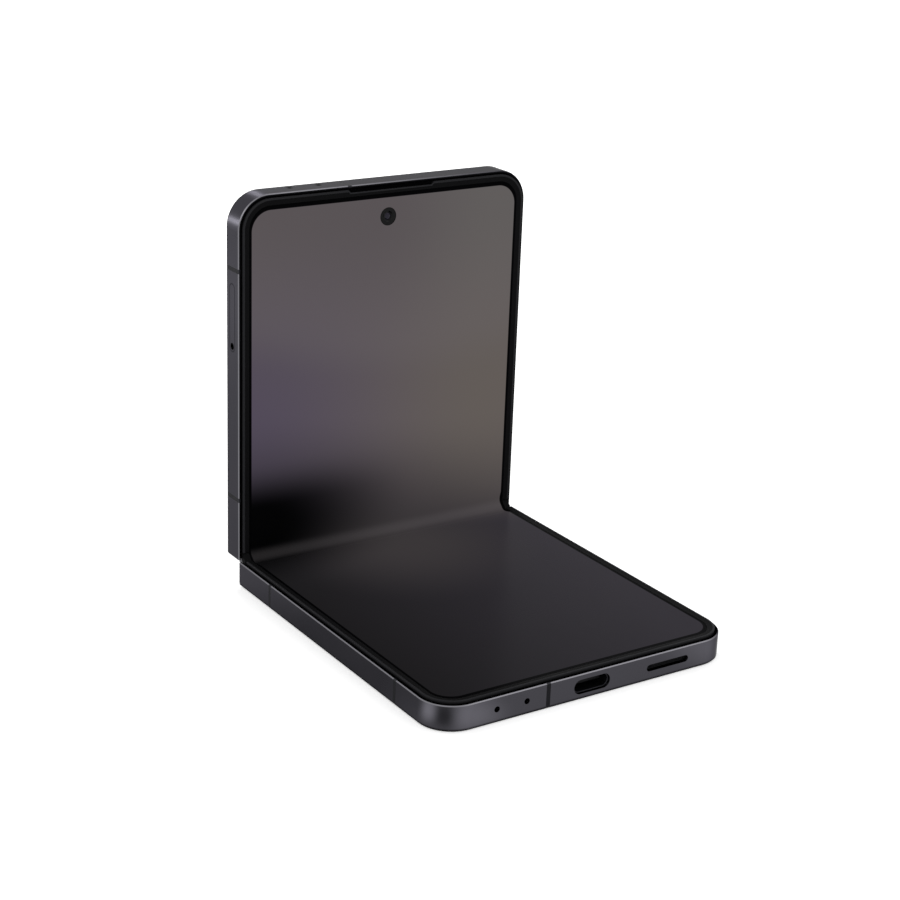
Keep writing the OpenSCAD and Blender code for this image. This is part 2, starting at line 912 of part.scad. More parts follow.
// Frame of a half, with its foot pockets beside the fold; from is where the rotator's channel starts
module half_frame(from) {
    middle = from + fit + tongue_w / 2;
    foot_half = foot_w / 2 + seat_gap;
    neck_half = tongue_w / 2 + seat_gap;
    pocket_wall = 0.5;
    difference() {
        union() {
            around_half(fold_end)
                rail_section();
            box([-inner_half_width - fit, inner_half_width + fit], [fold_end, fold_bar_w], [0, fold_bar_t]);
            translate([0, 0, plate_bottom])
                linear_extrude(plate_t)
                    half_plan(side_wall - fit, step_start);
            along_x(-inner_half_width - fit, inner_half_width + fit)
                polygon([
                    [wing_step_y, step_bottom], [step_end, step_bottom], [step_end, plate_top],
                    [step_start, plate_top], [step_start, wing_pad_top], [wing_step_y, wing_pad_top]
                ]);
            both_sides()
                box([middle - foot_half - pocket_wall, middle + foot_half + pocket_wall],
                    [step_start, foot_end + seat_gap + pocket_wall],
                    [foot_bottom - foot_floor_t, plate_bottom + fit]);
        }
        fold_corner_cut();
        cap_notch();
        rod_x(-inner_half_width - wing_pin_l - seat_gap, inner_half_width + wing_pin_l + seat_gap,
            wing_bead_r + running_fit, wing_pivot_y, wing_pivot_z);
        both_sides() {
            box([middle - foot_half, middle + foot_half], [foot_start - seat_gap, foot_end + seat_gap],
                [foot_bottom, rim_height]);
            box([middle - neck_half, middle + neck_half], [wing_step_y - seat_gap, foot_start],
                [foot_bottom - seat_gap, rim_height]);
            for (side = [-1, 1])
                translate([middle + side * screw_spread, screw_y, foot_bottom - foot_floor_t - seat_gap])
                    cylinder(r = screw_r + fit / 2, h = 2 * foot_floor_t);
        }
    }
}

module back_glass() {
    linear_extrude(glass_t)
        half_plan(glass_inset + fit, fold_bar_w + fit);
}

module usb_outline(grow) {
    translate([0, usb_z])
        stadium(usb_w + 2 * grow, usb_h + 2 * grow);
}

// Cuts an outline, drawn in x and z, through the rail at the outer end
module through_end(depth) {
    translate([0, half_length + side_wall, 0])
        rotate([90, 0, 0])
            linear_extrude(depth + side_wall)
                children();
}

// ---------------------------------------------------------------- lower half

module lower_frame() {
    color(METAL)
        on_lower()
            difference() {
                half_frame(block_x + lower_channel);
                bands(lower_band_x, true);
                through_end(ledge_w + fit)
                    usb_outline(fit);
                through_end(ledge_w)
                    translate([-speaker_x, usb_z])
                        stadium(speaker_slot_l, speaker_slot_h);
                for (x = [mic_inner_x, mic_outer_x])
                    through_end(ledge_w)
                        translate([x, mic_z])
                            circle(mic_r);
            }
}

module lower_back_glass() {
    color(GLASS)
        on_lower()
            back_glass();
}

module lower_bezel() {
    color(BLACK)
        on_lower()
            around_half(bezel_start)
                bezel_section();
}

module lower_antenna_bands() {
    color(BAND)
        on_lower()
            bands(lower_band_x, false);
}

module lower_battery() {
    color(CELL)
        on_lower()
            box([-inner_half_width + ledge_w, inner_half_width - ledge_w],
                [battery_start, battery_start + lower_battery_l], [battery_bottom, inner_top]);
}

module sub_board() {
    back = usb_front - usb_l;
    color(BOARD)
        on_lower()
            box([-speaker_x + speaker_w / 2 + board_gap / 2, inner_half_width - ledge_w],
                [battery_start + lower_battery_l + board_gap, back - seat_gap],
                [board_z, board_z + board_t]);
}

module usb_port() {
    mouth = 1.5;
    side_gap = 1;
    tongue_l = usb_l - mouth;
    tongue_half = usb_w / 2 - side_gap;
    tongue_half_t = 0.35;
    color(STEEL)
        on_lower() {
            difference() {
                translate([0, usb_front, 0])
                    rotate([90, 0, 0])
                        linear_extrude(usb_l)
                            usb_outline(0);
                translate([0, usb_front + usb_wall, 0])
                    rotate([90, 0, 0])
                        linear_extrude(usb_l)
                            usb_outline(-usb_wall);
            }
            box([-tongue_half, tongue_half], [usb_front - usb_l + usb_wall, usb_front - usb_l + tongue_l],
                [usb_z - tongue_half_t, usb_z + tongue_half_t]);
        }
}

module loudspeaker() {
    duct = [-speaker_x - speaker_slot_l / 2, -speaker_x + speaker_slot_l / 2];
    duct_l = 2;
    front = half_length - ledge_w - fit;
    color(BLACK)
        on_lower() {
            box([-speaker_x - speaker_w / 2, -speaker_x + speaker_w / 2], [front - speaker_l, front - duct_l],
                [fold_bar_t + seat_gap, inner_top]);
            box(duct, [front - duct_l - fit, front], [usb_z - speaker_slot_h, usb_z + speaker_slot_h]);
        }
}

module speaker_mesh() {
    color(DARK_METAL)
        on_lower()
            translate([0, half_length - side_wall / 2, 0])
                rotate([90, 0, 0])
                    linear_extrude(side_wall / 4)
                        translate([-speaker_x, usb_z])
                            stadium(speaker_slot_l - 2 * running_fit, speaker_slot_h - 2 * running_fit);
}

module microphones() {
    body = 1.6;
    color(STEEL)
        on_lower()
            for (x = [mic_inner_x, mic_outer_x])
                box([x - body, x + body], [half_length - side_wall - 2 * body, half_length - side_wall - fit],
                    [mic_z - body / 2, mic_z + body / 2]);
}

module vibration_motor() {
    motor_r = 3.6;
    reach = motor_r + 3 * seat_gap;
    color(STEEL)
        on_lower()
            translate([inner_half_width - ledge_w - reach, half_length - side_wall - reach,
                fold_bar_t + seat_gap])
                cylinder(r = motor_r, h = board_z - fold_bar_t - 2 * seat_gap);
}

module charging_coil() {
    color(COPPER)
        on_lower()
            translate([0, battery_start + lower_battery_l / 2, back_inner])
                difference() {
                    cylinder(r = coil_r, h = sheet_t);
                    translate([0, 0, -sheet_t])
                        cylinder(r = coil_r - coil_w, h = 3 * sheet_t);
                }
}

module ferrite_sheet() {
    color(BLACK)
        on_lower()
            translate([0, battery_start + lower_battery_l / 2, back_inner + sheet_t + fit])
                linear_extrude(sheet_t)
                    square(2 * coil_r, center = true);
}

// ---------------------------------------------------------------- upper half

module camera_places() {
    for (y = [camera_y, camera_y - camera_pitch])
        translate([camera_x, y, 0])
            children();
}

// Room for a side key in the right rail, or its face
module key_outline(y, l, grow) {
    translate([0, y, key_z])
        rotate([90, 0, 90])
            linear_extrude(half_width + side_wall)
                stadium(l + 2 * grow, key_h + 2 * grow);
}

module tray_outline(grow) {
    translate([0, tray_y, tray_z])
        rotate([90, 0, -90])
            linear_extrude(half_width + side_wall)
                stadium(tray_l + 2 * grow, tray_h + 2 * grow);
}

module upper_frame() {
    color(METAL)
        on_upper()
            difference() {
                half_frame(block_x + upper_channel);
                bands(-upper_band_x, true);
                intersection() {
                    union() {
                        key_outline(power_y, power_l, fit);
                        key_outline(volume_y, volume_l, seat_gap);
                        tray_outline(fit);
                    }
                    both_sides()
                        box([inner_half_width - fit, half_width + fit], [0, half_length],
                            [fold_bar_t, plate_bottom]);
                }
                for (x = [-top_hole_outer_x, -top_hole_inner_x])
                    through_end(ledge_w)
                        translate([x, top_hole_z])
                            circle(top_hole_r);
                translate([0, front_cam_y, plate_bottom - plate_t])
                    cylinder(r = front_cam_r + fit, h = 3 * plate_t);
            }
}

module upper_back_glass() {
    color(GLASS)
        on_upper()
            difference() {
                back_glass();
                camera_places()
                    translate([0, 0, -glass_t])
                        cylinder(r = ring_r + fit, h = 3 * glass_t);
                translate([camera_x, flash_y, -glass_t])
                    cylinder(r = flash_r + fit, h = 3 * glass_t);
            }
}

module upper_bezel() {
    deep = bezel_out + ear_slot_w;
    color(BLACK)
        on_upper()
            difference() {
                around_half(bezel_start)
                    bezel_section();
                translate([ear_x, half_length, plate_top - seat_gap])
                    linear_extrude(2 * bezel_proud + seat_gap)
                        polygon([
                            [-ear_slot_l / 2, 0], [-ear_slot_l / 2 + deep, -deep],
                            [ear_slot_l / 2 - deep, -deep], [ear_slot_l / 2, 0]
                        ]);
            }
}

module upper_antenna_bands() {
    color(BAND)
        on_upper()
            bands(-upper_band_x, false);
}

module upper_battery() {
    color(CELL)
        on_upper()
            box([-inner_half_width + ledge_w, inner_half_width - ledge_w],
                [battery_start, battery_start + upper_battery_l], [battery_bottom, inner_top]);
}

module board_plan() {
    difference() {
        translate(main_board_from)
            square(main_board_to - main_board_from);
        translate([-front_hole, front_cam_y - front_hole])
            square([2 * front_hole, 2 * half_length]);
    }
}

module main_board() {
    color(BOARD)
        on_upper()
            translate([0, 0, board_z])
                linear_extrude(board_t)
                    board_plan();
}

module shield_cans() {
    can_gap = 1.5;
    can_w = (main_board_to[0] - main_board_from[0] - 3 * can_gap) / 2;
    can_l = (front_cam_y - front_hole - main_board_from[1] - 3 * can_gap) / 2;
    color(STEEL)
        on_upper()
            for (row = [0, 1])
                for (column = [0, 1])
                    translate([main_board_from[0] + can_gap + column * (can_w + can_gap),
                        main_board_from[1] + can_gap + row * (can_l + can_gap), board_z + board_t])
                        cube([can_w, can_l, inner_top - board_z - board_t]);
}

module camera_rings() {
    color(METAL)
        on_upper()
            camera_places()
                difference() {
                    union() {
                        translate([0, 0, -ring_proud])
                            cylinder(r = ring_r, h = ring_proud + glass_t + 2 * sheet_t);
                        translate([0, 0, glass_t + fit])
                            cylinder(r = ring_r + ring_flange, h = sheet_t);
                    }
                    translate([0, 0, -2 * ring_proud])
                        cylinder(r = ring_r - ring_wall, h = 4 * ring_proud + glass_t);
                }
}

module camera_lenses() {
    color(GLASS)
        on_upper()
            camera_places()
                translate([0, 0, -ring_proud + lens_recess])
                    cylinder(r = lens_r, h = glass_t);
}

module camera_modules() {
    barrel_from = -ring_proud + lens_recess + glass_t + fit;
    body_from = glass_t + 3 * sheet_t;
    barrel_gap = 0.4;
    color(BLACK)
        on_upper()
            camera_places() {
                translate([0, 0, barrel_from])
                    cylinder(r = lens_r - barrel_gap, h = body_from - barrel_from + fit);
                translate([-camera_body_w / 2, -camera_body_w / 2, body_from])
                    cube([camera_body_w, camera_body_w, inner_top - body_from]);
            }
}

module flash() {
    color(CREAM)
        on_upper()
            translate([camera_x, flash_y, 0])
                cylinder(r = flash_r, h = battery_bottom);
}

module cover_display() {
    color(SCREEN)
        on_upper()
            box([cover_screen_x - cover_screen_w / 2, cover_screen_x + cover_screen_w / 2],
                [cover_screen_y - cover_screen_l / 2, cover_screen_y + cover_screen_l / 2],
                [back_inner, back_inner + 1.5 * sheet_t]);
}

module earpiece() {
    ear_l = 12;
    ear_w = 2;
    color(BLACK)
        on_upper()
            box([ear_x - ear_l / 2, ear_x + ear_l / 2],
                [half_length - ledge_w - ear_w, half_length - ledge_w - fit],
                [board_z + board_t + fit, inner_top]);
}

module front_camera() {
    body = 2.9;
    color(BLACK)
        on_upper()
            translate([0, front_cam_y, 0]) {
                translate([0, 0, inner_top - fit])
                    cylinder(r = front_cam_r, h = screen_top - fit - inner_top);
                translate([-body, -body, board_z])
                    cube([2 * body, 2 * body, inner_top - board_z]);
            }
}

// Sheet metal housing round the SIM tray, open towards the rail
module sim_reader() {
    z_from = tray_z - tray_h / 2 - reader_wall - tray_clear;
    z_to = tray_z + tray_h / 2 + reader_wall + tray_clear;
    color(STEEL)
        on_upper()
            difference() {
                box([-inner_half_width + fit, -reader_end_x], [tray_y - reader_l / 2, tray_y + reader_l / 2],
                    [z_from, z_to]);
                box([-half_width, -reader_end_x - reader_wall],
                    [tray_y - reader_l / 2 + reader_wall, tray_y + reader_l / 2 - reader_wall],
                    [z_from + reader_wall, z_to - reader_wall]);
            }
}

module sim_tray() {
    card_l = 12.3;
    card_w = 8.8;
    pin_r = 0.45;
    rim = 0.3;
    end_bar = 1;
    pin_y = tray_y - (tray_l - tray_h) / 2;
    board_from = pin_y + pin_r + rim;
    tray_end = reader_end_x + reader_wall + 2 * tray_clear;
    color(METAL)
        on_upper()
            difference() {
                union() {
                    intersection() {
                        tray_outline(0);
                        box([-half_width, -half_width + face_t], [0, half_length], [0, rim_height]);
                    }
                    box([-half_width + face_t - fit, -tray_end], [board_from, tray_y + tray_l / 2 - rim],
                        [tray_z - tray_board_t / 2, tray_z + tray_board_t / 2]);
                }
                box([-tray_end - end_bar - card_w, -tray_end - end_bar],
                    [board_from + rim, board_from + rim + card_l],
                    [tray_z - tray_board_t / 4, tray_z + tray_board_t]);
                translate([-half_width + face_t + fit, pin_y, tray_z])
                    rotate([0, -90, 0])
                        cylinder(r = pin_r, h = 2 * face_t);
            }
}

// Face, stem and inner flange of a key; out is how far its face stands
module side_key(y, l, flange_out) {
    face = half_width - seat_gap / 2;
    intersection() {
        key_outline(y, l, 0);
        box([flange_out - fit, face], [0, half_length], [0, rim_height]);
    }
    box([flange_out - flange_t, flange_out], [y - l / 2 - flange_lip, y + l / 2 + flange_lip],
        [key_z - key_h / 2 - flange_rise, key_z + key_h / 2 + flange_rise]);
}

module power_key() {
    color(METAL)
        on_upper()
            side_key(power_y, power_l, inner_half_width - fit);
}

module volume_rocker() {
    color(METAL)
        on_upper()
            side_key(volume_y, volume_l, inner_half_width - rocker_gap);
}

// Domes behind the keys on a strip that stands along the rail
module key_switches() {
    dome_r = 0.9;
    strip_from = power_y - power_l / 2;
    strip_to = volume_y + volume_l / 2;
    color(STEEL)
        on_upper() {
            box([strip_x - strip_t, strip_x], [strip_from, strip_to], [fold_bar_t + seat_gap, inner_top]);
            for (place = [[power_y, dome_top], [volume_y - volume_l / 3, dome_top - rocker_gap],
                          [volume_y + volume_l / 3, dome_top - rocker_gap]])
                rod_x(strip_x - fit, place[1], dome_r, place[0], key_z);
        }
}

// ---------------------------------------------------------------- cable across the fold

function turned(p, a) = [p[0] * cos(a) - p[1] * sin(a), p[0] * sin(a) + p[1] * cos(a)];

// A point of the lower half, given as distance from the fold and depth below the rim, seen from the spine
function in_spine(y, depth) = turned([axis_y - y, -depth], -half_turn) - [axis_y, 0];

// Direction of a ribbon at point k, from its neighbours
function ribbon_normal(points, k) =
    let (ahead = points[min(k + 1, len(points) - 1)] - points[max(k - 1, 0)])
    [-ahead[1], ahead[0]] / norm(ahead);

module ribbon(points, t) {
    polygon(concat(
        [for (k = [0:len(points) - 1]) points[k] + ribbon_normal(points, k) * t / 2],
        [for (k = [len(points) - 1:-1:0]) points[k] - ribbon_normal(points, k) * t / 2]
    ));
}

module hinge_flex() {
    color(AMBER)
        on_spine()
            along_x(-flex_half_w, flex_half_w)
                ribbon(flex_points, flex_t);
}

lower_frame();
lower_back_glass();
lower_bezel();
lower_antenna_bands();
lower_display();
lower_battery();
sub_board();
usb_port();
loudspeaker();
speaker_mesh();
microphones();
vibration_motor();
charging_coil();
ferrite_sheet();
lower_rotators();
lower_hinge_screws();
lower_wing_plate();
upper_frame();
upper_back_glass();
upper_bezel();
upper_antenna_bands();
upper_display();
upper_battery();
main_board();
shield_cans();
camera_rings();
camera_lenses();
camera_modules();
flash();
cover_display();
earpiece();
front_camera();
sim_reader();
key_switches();
upper_rotators();
upper_hinge_screws();
upper_wing_plate();
power_key();
volume_rocker();
sim_tray();
hinge_cover();
hinge_blocks();
fold_caps();
fold_display();
hinge_flex();
lower_pinions();
lower_idlers();
upper_idlers();
upper_pinions();
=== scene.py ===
"""Looks of the foldable phone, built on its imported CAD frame. Sizes are in metres."""

import math

import bmesh
import bpy
import numpy as np
from mathutils import Matrix, Vector


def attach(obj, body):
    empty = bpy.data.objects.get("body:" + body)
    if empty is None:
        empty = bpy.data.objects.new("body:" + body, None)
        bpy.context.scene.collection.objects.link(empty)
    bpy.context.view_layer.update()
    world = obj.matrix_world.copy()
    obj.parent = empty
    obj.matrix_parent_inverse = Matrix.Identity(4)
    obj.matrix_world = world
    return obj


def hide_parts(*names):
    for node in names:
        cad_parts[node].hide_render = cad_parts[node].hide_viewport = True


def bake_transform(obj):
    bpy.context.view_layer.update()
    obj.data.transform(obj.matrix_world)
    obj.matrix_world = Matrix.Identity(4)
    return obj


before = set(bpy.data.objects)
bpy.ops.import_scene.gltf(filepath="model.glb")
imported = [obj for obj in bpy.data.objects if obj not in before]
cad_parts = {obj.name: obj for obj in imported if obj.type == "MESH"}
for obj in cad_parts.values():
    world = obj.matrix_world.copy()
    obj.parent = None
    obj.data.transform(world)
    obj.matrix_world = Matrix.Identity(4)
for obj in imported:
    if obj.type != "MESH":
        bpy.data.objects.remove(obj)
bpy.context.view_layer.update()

MM = 0.001

# -------- sizes shared with the part's source

HALF_WIDTH = 37 * MM
HALF_LENGTH = 83.2 * MM
RIM = 5.7 * MM
CORNER = 7.5 * MM
AXIS = 0.75 * MM
HALF_TURN = math.radians(45)
SCREEN_INSET = 2.5 * MM
SCREEN_TOP = 0.4 * MM
RIM_LIP = 0.5 * MM
GROOVE_DEPTH = 0.5 * MM
BEZEL_OUT = 0.85 * MM
BEZEL_IN = 2.45 * MM
BEZEL_START = 1.85 * MM
BEZEL_HIGH = 0.65 * MM
BEZEL_LOW = -0.05 * MM
RIDGE = 0.4 * MM
RIDGE_STEP = 0.15 * MM
TOP_HOLES_X = (-22.8 * MM, -15.7 * MM)
TOP_HOLE_Z = 2.25 * MM
TOP_HOLE_R = 0.4 * MM
PIN_HOLE_Y = 49.55 * MM
PIN_HOLE_Z = 2.8 * MM
TRAY_Y = 56 * MM
TRAY_RUN = 6.45 * MM
EAR_X = 0.6 * MM
EAR_LENGTH = 23.7 * MM
EAR_DEPTH = 0.6 * MM
BACK_INNER = 0.65 * MM
INNER_TOP = 5.0 * MM
BOARD_Z = 2.7 * MM
USB_Z = 2.9 * MM
USB_WIDTH = 8.9 * MM
USB_HEIGHT = 3.1 * MM
USB_LENGTH = 7 * MM
USB_RECESS = 0.5 * MM
USB_WALL = 0.25 * MM
SPEAKER_X = 19.5 * MM
SPEAKER_LENGTH = 10.78 * MM
SPEAKER_HEIGHT = 1.38 * MM
COIL_Y = 37 * MM
COIL_R = 21 * MM
COIL_WIDTH = 9 * MM
FRONT_CAMERA_Y = 75.5 * MM
FRONT_CAMERA_R = 2.05 * MM
COVER_X = -9 * MM
COVER_Y = 64.5 * MM
COVER_WIDTH = 44 * MM
COVER_LENGTH = 29 * MM
REAR_CAMERA_X = 22 * MM
REAR_CAMERA_Y = 71 * MM
REAR_CAMERA_PITCH = 15 * MM
RING_R = 6 * MM
RING_PROUD = 1.2 * MM
RING_WALL = 1.2 * MM
FLASH_Y = 45.5 * MM
FLASH_R = 1.8 * MM
GLASS = 0.6 * MM

# -------- sizes of the looks alone

# Depths of the bumps of fine and of coarse grain
FINE = 0.01 * MM
COARSE = 0.02 * MM
SHEET = 0.25 * MM
LIT_SIDE = 3.03 * MM
LIT_END = 3.4 * MM
LIT_CORNER = 4.6 * MM
COVER_CORNER = 2.5 * MM
WINDOW_BLUR = 0.06 * MM
# Radius of the ring of painted shade round the holes in the rail
HOLE_RIM = 0.78 * MM
SEAM_OUTER = 1.27 * MM
SEAM_INNER = 1.07 * MM
SAME_POINT = 1e-7
BARE_AXIS = 0.02 * MM


# -------- places


def turn_about(y, z, angle):
    """A turn about an axis along x."""
    there = Matrix.Translation((0, y, z))
    return there @ Matrix.Rotation(angle, 4, "X") @ Matrix.Translation((0, -y, -z))


FOLD = Matrix.Translation((0, HALF_LENGTH / 2, 0))
TO_SPINE = FOLD @ turn_about(-AXIS, RIM, HALF_TURN) @ Matrix.Translation((0, 0, RIM))
TO_LOWER = FOLD @ Matrix.Rotation(math.pi, 4, "Z")
TO_UPPER = FOLD @ turn_about(-AXIS, RIM, HALF_TURN) @ turn_about(AXIS, RIM, HALF_TURN)
HALVES = (("lower", TO_LOWER, -1), ("upper", TO_UPPER, 1))


# -------- node helpers


class Nodes:
    """Adds and wires the nodes of one tree."""

    def __init__(self, tree):
        self.tree = tree

    def add(self, kind, inputs=None, **settings):
        made = self.tree.nodes.new(kind)
        for name, value in settings.items():
            setattr(made, name, value)
        for name, value in (inputs or {}).items():
            self.feed(made.inputs[name], value)
        return made

    def out(self, kind, inputs=None, **settings):
        """Adds a node and gives its first output."""
        return self.add(kind, inputs, **settings).outputs[0]

    def geo(self, kind, inputs=None, **settings):
        return self.out("GeometryNode" + kind, inputs, **settings)

    def feed(self, socket, value):
        if isinstance(value, bpy.types.NodeSocket):
            self.tree.links.new(value, socket)
        else:
            socket.default_value = value

    def math(self, operation, *values, clamp=False):
        return self.out("ShaderNodeMath", dict(enumerate(values)), operation=operation, use_clamp=clamp)

    def plus(self, a, b, clamp=False):
        return self.math("ADD", a, b, clamp=clamp)

    def minus(self, a, b):
        return self.math("SUBTRACT", a, b)

    def times(self, a, b):
        return self.math("MULTIPLY", a, b)

    def vector(self, operation, *values):
        made = self.add("ShaderNodeVectorMath", dict(enumerate(values)), operation=operation)
        return made.outputs["Value"] if operation in ("DOT_PRODUCT", "LENGTH") else made.outputs[0]

    def parts(self, vector):
        """The x, y and z of a vector."""
        return self.add("ShaderNodeSeparateXYZ", {0: vector}).outputs

    def xyz(self, **inputs):
        return self.out("ShaderNodeCombineXYZ", inputs)

    def spread(self, value, low, high, to_low=0.0, to_high=1.0, smooth=True):
        """Maps low..high onto to_low..to_high, held at both ends."""
        return self.out("ShaderNodeMapRange", {
            "Value": value, "From Min": low, "From Max": high, "To Min": to_low, "To Max": to_high},
            interpolation_type="SMOOTHSTEP" if smooth else "LINEAR")

    def between(self, share, a, b):
        """A value from a, at a share of 0, to b, at a share of 1."""
        return self.spread(share, 0.0, 1.0, a, b, smooth=False)

    def spot(self, place, centre, near, far, strength=1.0, squash=(1.0, 1.0, 1.0)):
        """A round or oval spot: its strength inside near, and nothing beyond far."""
        apart = self.vector("MULTIPLY", self.vector("SUBTRACT", place, centre), squash)
        return self.spread(self.vector("LENGTH", apart), near, far, strength, 0.0)

    def mix(self, share, a, b):
        """A colour between a and b."""
        return self.add("ShaderNodeMix", {0: share, 6: a, 7: b}, data_type="RGBA").outputs[2]

    def noise(self, place, scale, detail=2.0, roughness=0.5):
        return self.out("ShaderNodeTexNoise", {
            "Vector": place, "Scale": scale, "Detail": detail, "Roughness": roughness})

    def bump(self, height, strength, distance):
        return self.out("ShaderNodeBump", {"Height": height, "Strength": strength, "Distance": distance})

    def row(self, axis, count, pitch, **beside):
        """Points at a pitch along an axis, about its middle, and beside it."""
        first = self.times(self.times(self.minus(count, 1.0), -0.5), pitch)
        return self.geo("MeshLine", {
            "Count": self.out("FunctionNodeFloatToInt", {0: count}),
            "Start Location": self.xyz(**{axis: first}, **beside), "Offset": self.xyz(**{axis: pitch})},
            mode="OFFSET")

    def swept(self, route, section):
        """A closed section along a route, with its ends closed."""
        return self.geo("CurveToMesh", {"Curve": route, "Profile Curve": section, "Fill Caps": True})


def rgb(r, g, b):
    """A colour given as it looks on a screen, 0 to 255, for a socket."""
    channels = []
    for value in (r, g, b):
        value /= 255
        channels.append(value / 12.92 if value <= 0.04045 else ((value + 0.055) / 1.055) ** 2.4)
    return (*channels, 1.0)


def add_sockets(tree, in_out, sockets):
    """Sockets of a group, from their names and kinds."""
    for socket, kind in sockets.items():
        tree.interface.new_socket(socket, in_out=in_out, socket_type="NodeSocket" + kind)


def shader_group(name, fill, outputs, **inputs):
    """A node group made once; fill wires it, given its Nodes, its inputs and its outputs."""
    tree = bpy.data.node_groups.new(name, "ShaderNodeTree")
    add_sockets(tree, "INPUT", inputs)
    add_sockets(tree, "OUTPUT", outputs)
    nodes = Nodes(tree)
    fill(nodes, nodes.add("NodeGroupInput").outputs, nodes.add("NodeGroupOutput").inputs)
    return tree


def fill_grain(nodes, given, out):
    """Fine blasted or moulded grain: a height for bump, and a colour and roughness that vary with it."""
    fine = nodes.noise(given["Place"], given["Scale"], detail=3.0, roughness=0.6)
    broad = nodes.noise(given["Place"], nodes.times(given["Scale"], 0.02))
    shift = nodes.minus(fine, 0.5)
    cloud = nodes.minus(broad, 0.5)
    tone = nodes.plus(1.0, nodes.times(nodes.plus(shift, cloud), given["Tone"]))
    colour = {0: given["Colour"], "Scale": tone}
    nodes.feed(out["Colour"], nodes.out("ShaderNodeVectorMath", colour, operation="SCALE"))
    rough = nodes.times(nodes.plus(shift, nodes.times(cloud, 2.0)), given["Spread"])
    nodes.feed(out["Roughness"], nodes.plus(given["Roughness"], rough, clamp=True))
    nodes.feed(out["Height"], fine)


def fill_handling(nodes, given, out):
    """Faint smears and dust that skin and pockets leave: a mask that is mostly near 0."""
    stretched = nodes.vector("MULTIPLY", given["Place"], (1.0, 0.35, 1.0))
    smears = nodes.noise(stretched, given["Scale"], detail=4.0, roughness=0.65)
    dust = nodes.noise(given["Place"], nodes.times(given["Scale"], 40.0), detail=1.0)
    specks = nodes.times(nodes.spread(dust, 0.72, 0.8), 0.4)
    nodes.feed(out["Mask"], nodes.plus(nodes.spread(smears, 0.52, 0.75), specks, clamp=True))


def fill_cut_edge(nodes, given, out):
    """The rail's faces by their slope in the half: its bright front chamfer, and those given painted shade.

    Painted shade goes on the back chamfer and on the flat lip beside the bezel's groove. Both chamfers slope
    at 45 degrees, so their normal has about 0.7 of it upright.
    """
    up = nodes.vector("DOT_PRODUCT", given["Normal"], given["Upright"])
    front = nodes.times(nodes.spread(up, 0.62, 0.69), nodes.spread(up, 0.72, 0.79, 1.0, 0.0))
    back = nodes.times(nodes.spread(up, -0.79, -0.72), nodes.spread(up, -0.69, -0.62, 1.0, 0.0))
    nodes.feed(out["Mask"], front)
    nodes.feed(out["Shade"], nodes.plus(back, nodes.spread(up, 0.88, 0.95), clamp=True))


def fill_window(nodes, given, out):
    """A rectangle with rounded corners: 1 inside, 0 outside."""
    apart = nodes.vector("ABSOLUTE", nodes.vector("SUBTRACT", given["Place"], given["Centre"]))
    beyond = nodes.vector("MAXIMUM", nodes.vector("SUBTRACT", apart, given["Straight"]), (0.0, 0.0, 0.0))
    outside = nodes.minus(nodes.vector("LENGTH", beyond), given["Corner"])
    nodes.feed(out["Mask"], nodes.spread(outside, -WINDOW_BLUR, WINDOW_BLUR, 1.0, 0.0))


GRAIN = shader_group(
    "fine grain", fill_grain, {"Colour": "Color", "Roughness": "Float", "Height": "Float"},
    Place="Vector", Colour="Color", Scale="Float", Tone="Float", Roughness="Float", Spread="Float")
HANDLING = shader_group("handling marks", fill_handling, {"Mask": "Float"}, Place="Vector", Scale="Float")
CUT_EDGE = shader_group(
    "cut edge", fill_cut_edge, {"Mask": "Float", "Shade": "Float"}, Normal="Vector", Upright="Vector")
WINDOW = shader_group(
    "rounded window", fill_window, {"Mask": "Float"},
    Place="Vector", Centre="Vector", Straight="Vector", Corner="Float")


class Finish(Nodes):
    """A material with its nodes, its Principled shader and its coordinates."""

    def __init__(self, name, **fixed):
        self.material = bpy.data.materials.new(name)
        self.material.use_nodes = True
        super().__init__(self.material.node_tree)
        self.shader = self.tree.nodes["Principled BSDF"]
        self.place = self.add("ShaderNodeTexCoord").outputs
        self.here = self.place["Object"]
        self.set(**fixed)

    def set(self, **sockets):
        """Feeds sockets of the shader; their names have _ for a space."""
        for name, value in sockets.items():
            self.feed(self.shader.inputs[name.replace("_", " ")], value)

    def group(self, tree, **inputs):
        return self.add("ShaderNodeGroup", inputs, node_tree=tree).outputs

    def grain(self, colour, roughness, scale=3000.0, tone=0.1, spread=0.1, bump=0.1, depth=COARSE):
        """Sets colour, roughness and bump from the grain group."""
        grain = self.group(GRAIN, Place=self.here, Colour=colour, Scale=scale, Tone=tone,
                           Roughness=roughness, Spread=spread)
        self.set(Base_Color=grain["Colour"], Roughness=grain["Roughness"])
        if bump:
            self.set(Normal=self.bump(grain["Height"], bump, depth))
        return grain

    def handled(self, rough, scale, amount):
        """A roughness with handling marks in it."""
        marks = self.group(HANDLING, Place=self.here, Scale=scale)["Mask"]
        return self.plus(rough, self.times(marks, amount))


# -------- materials

BLACK = (0.0, 0.0, 0.0, 1.0)
EDGE_TINT = (0.45, 0.45, 0.45, 1.0)
DARK_TINT = (0.05, 0.05, 0.05, 1.0)
RAIL = rgb(68, 67, 72)
CUT = rgb(120, 119, 124)
CUT_IN_PAINTED_SHADE = rgb(58, 57, 61)
# Painted shade for the rail's back chamfer, the lip beside the groove and the band along its back edge
RAIL_PAINTED_SHADE = rgb(16, 16, 18)
HOLE_PAINTED_SHADE = rgb(9, 9, 10)
SEAM = rgb(20, 20, 22)
BAND = rgb(28, 28, 31)
BAND_CUT = rgb(58, 58, 62)
COVER_BLACK = rgb(7, 7, 8)
LENS_COAT = (0.012, 0.006, 0.022, 1.0)
# Painted shade darkens the body from SHADE_FULL above its back face down, and ends above SHADE_END
SHADE_FULL = 0.3 * MM
SHADE_END = 0.85 * MM
# Painted shade: the chamfer darkens from left to right between these places across, as if the light fell off
FADE_FROM = -20 * MM
FADE_TO = 34 * MM


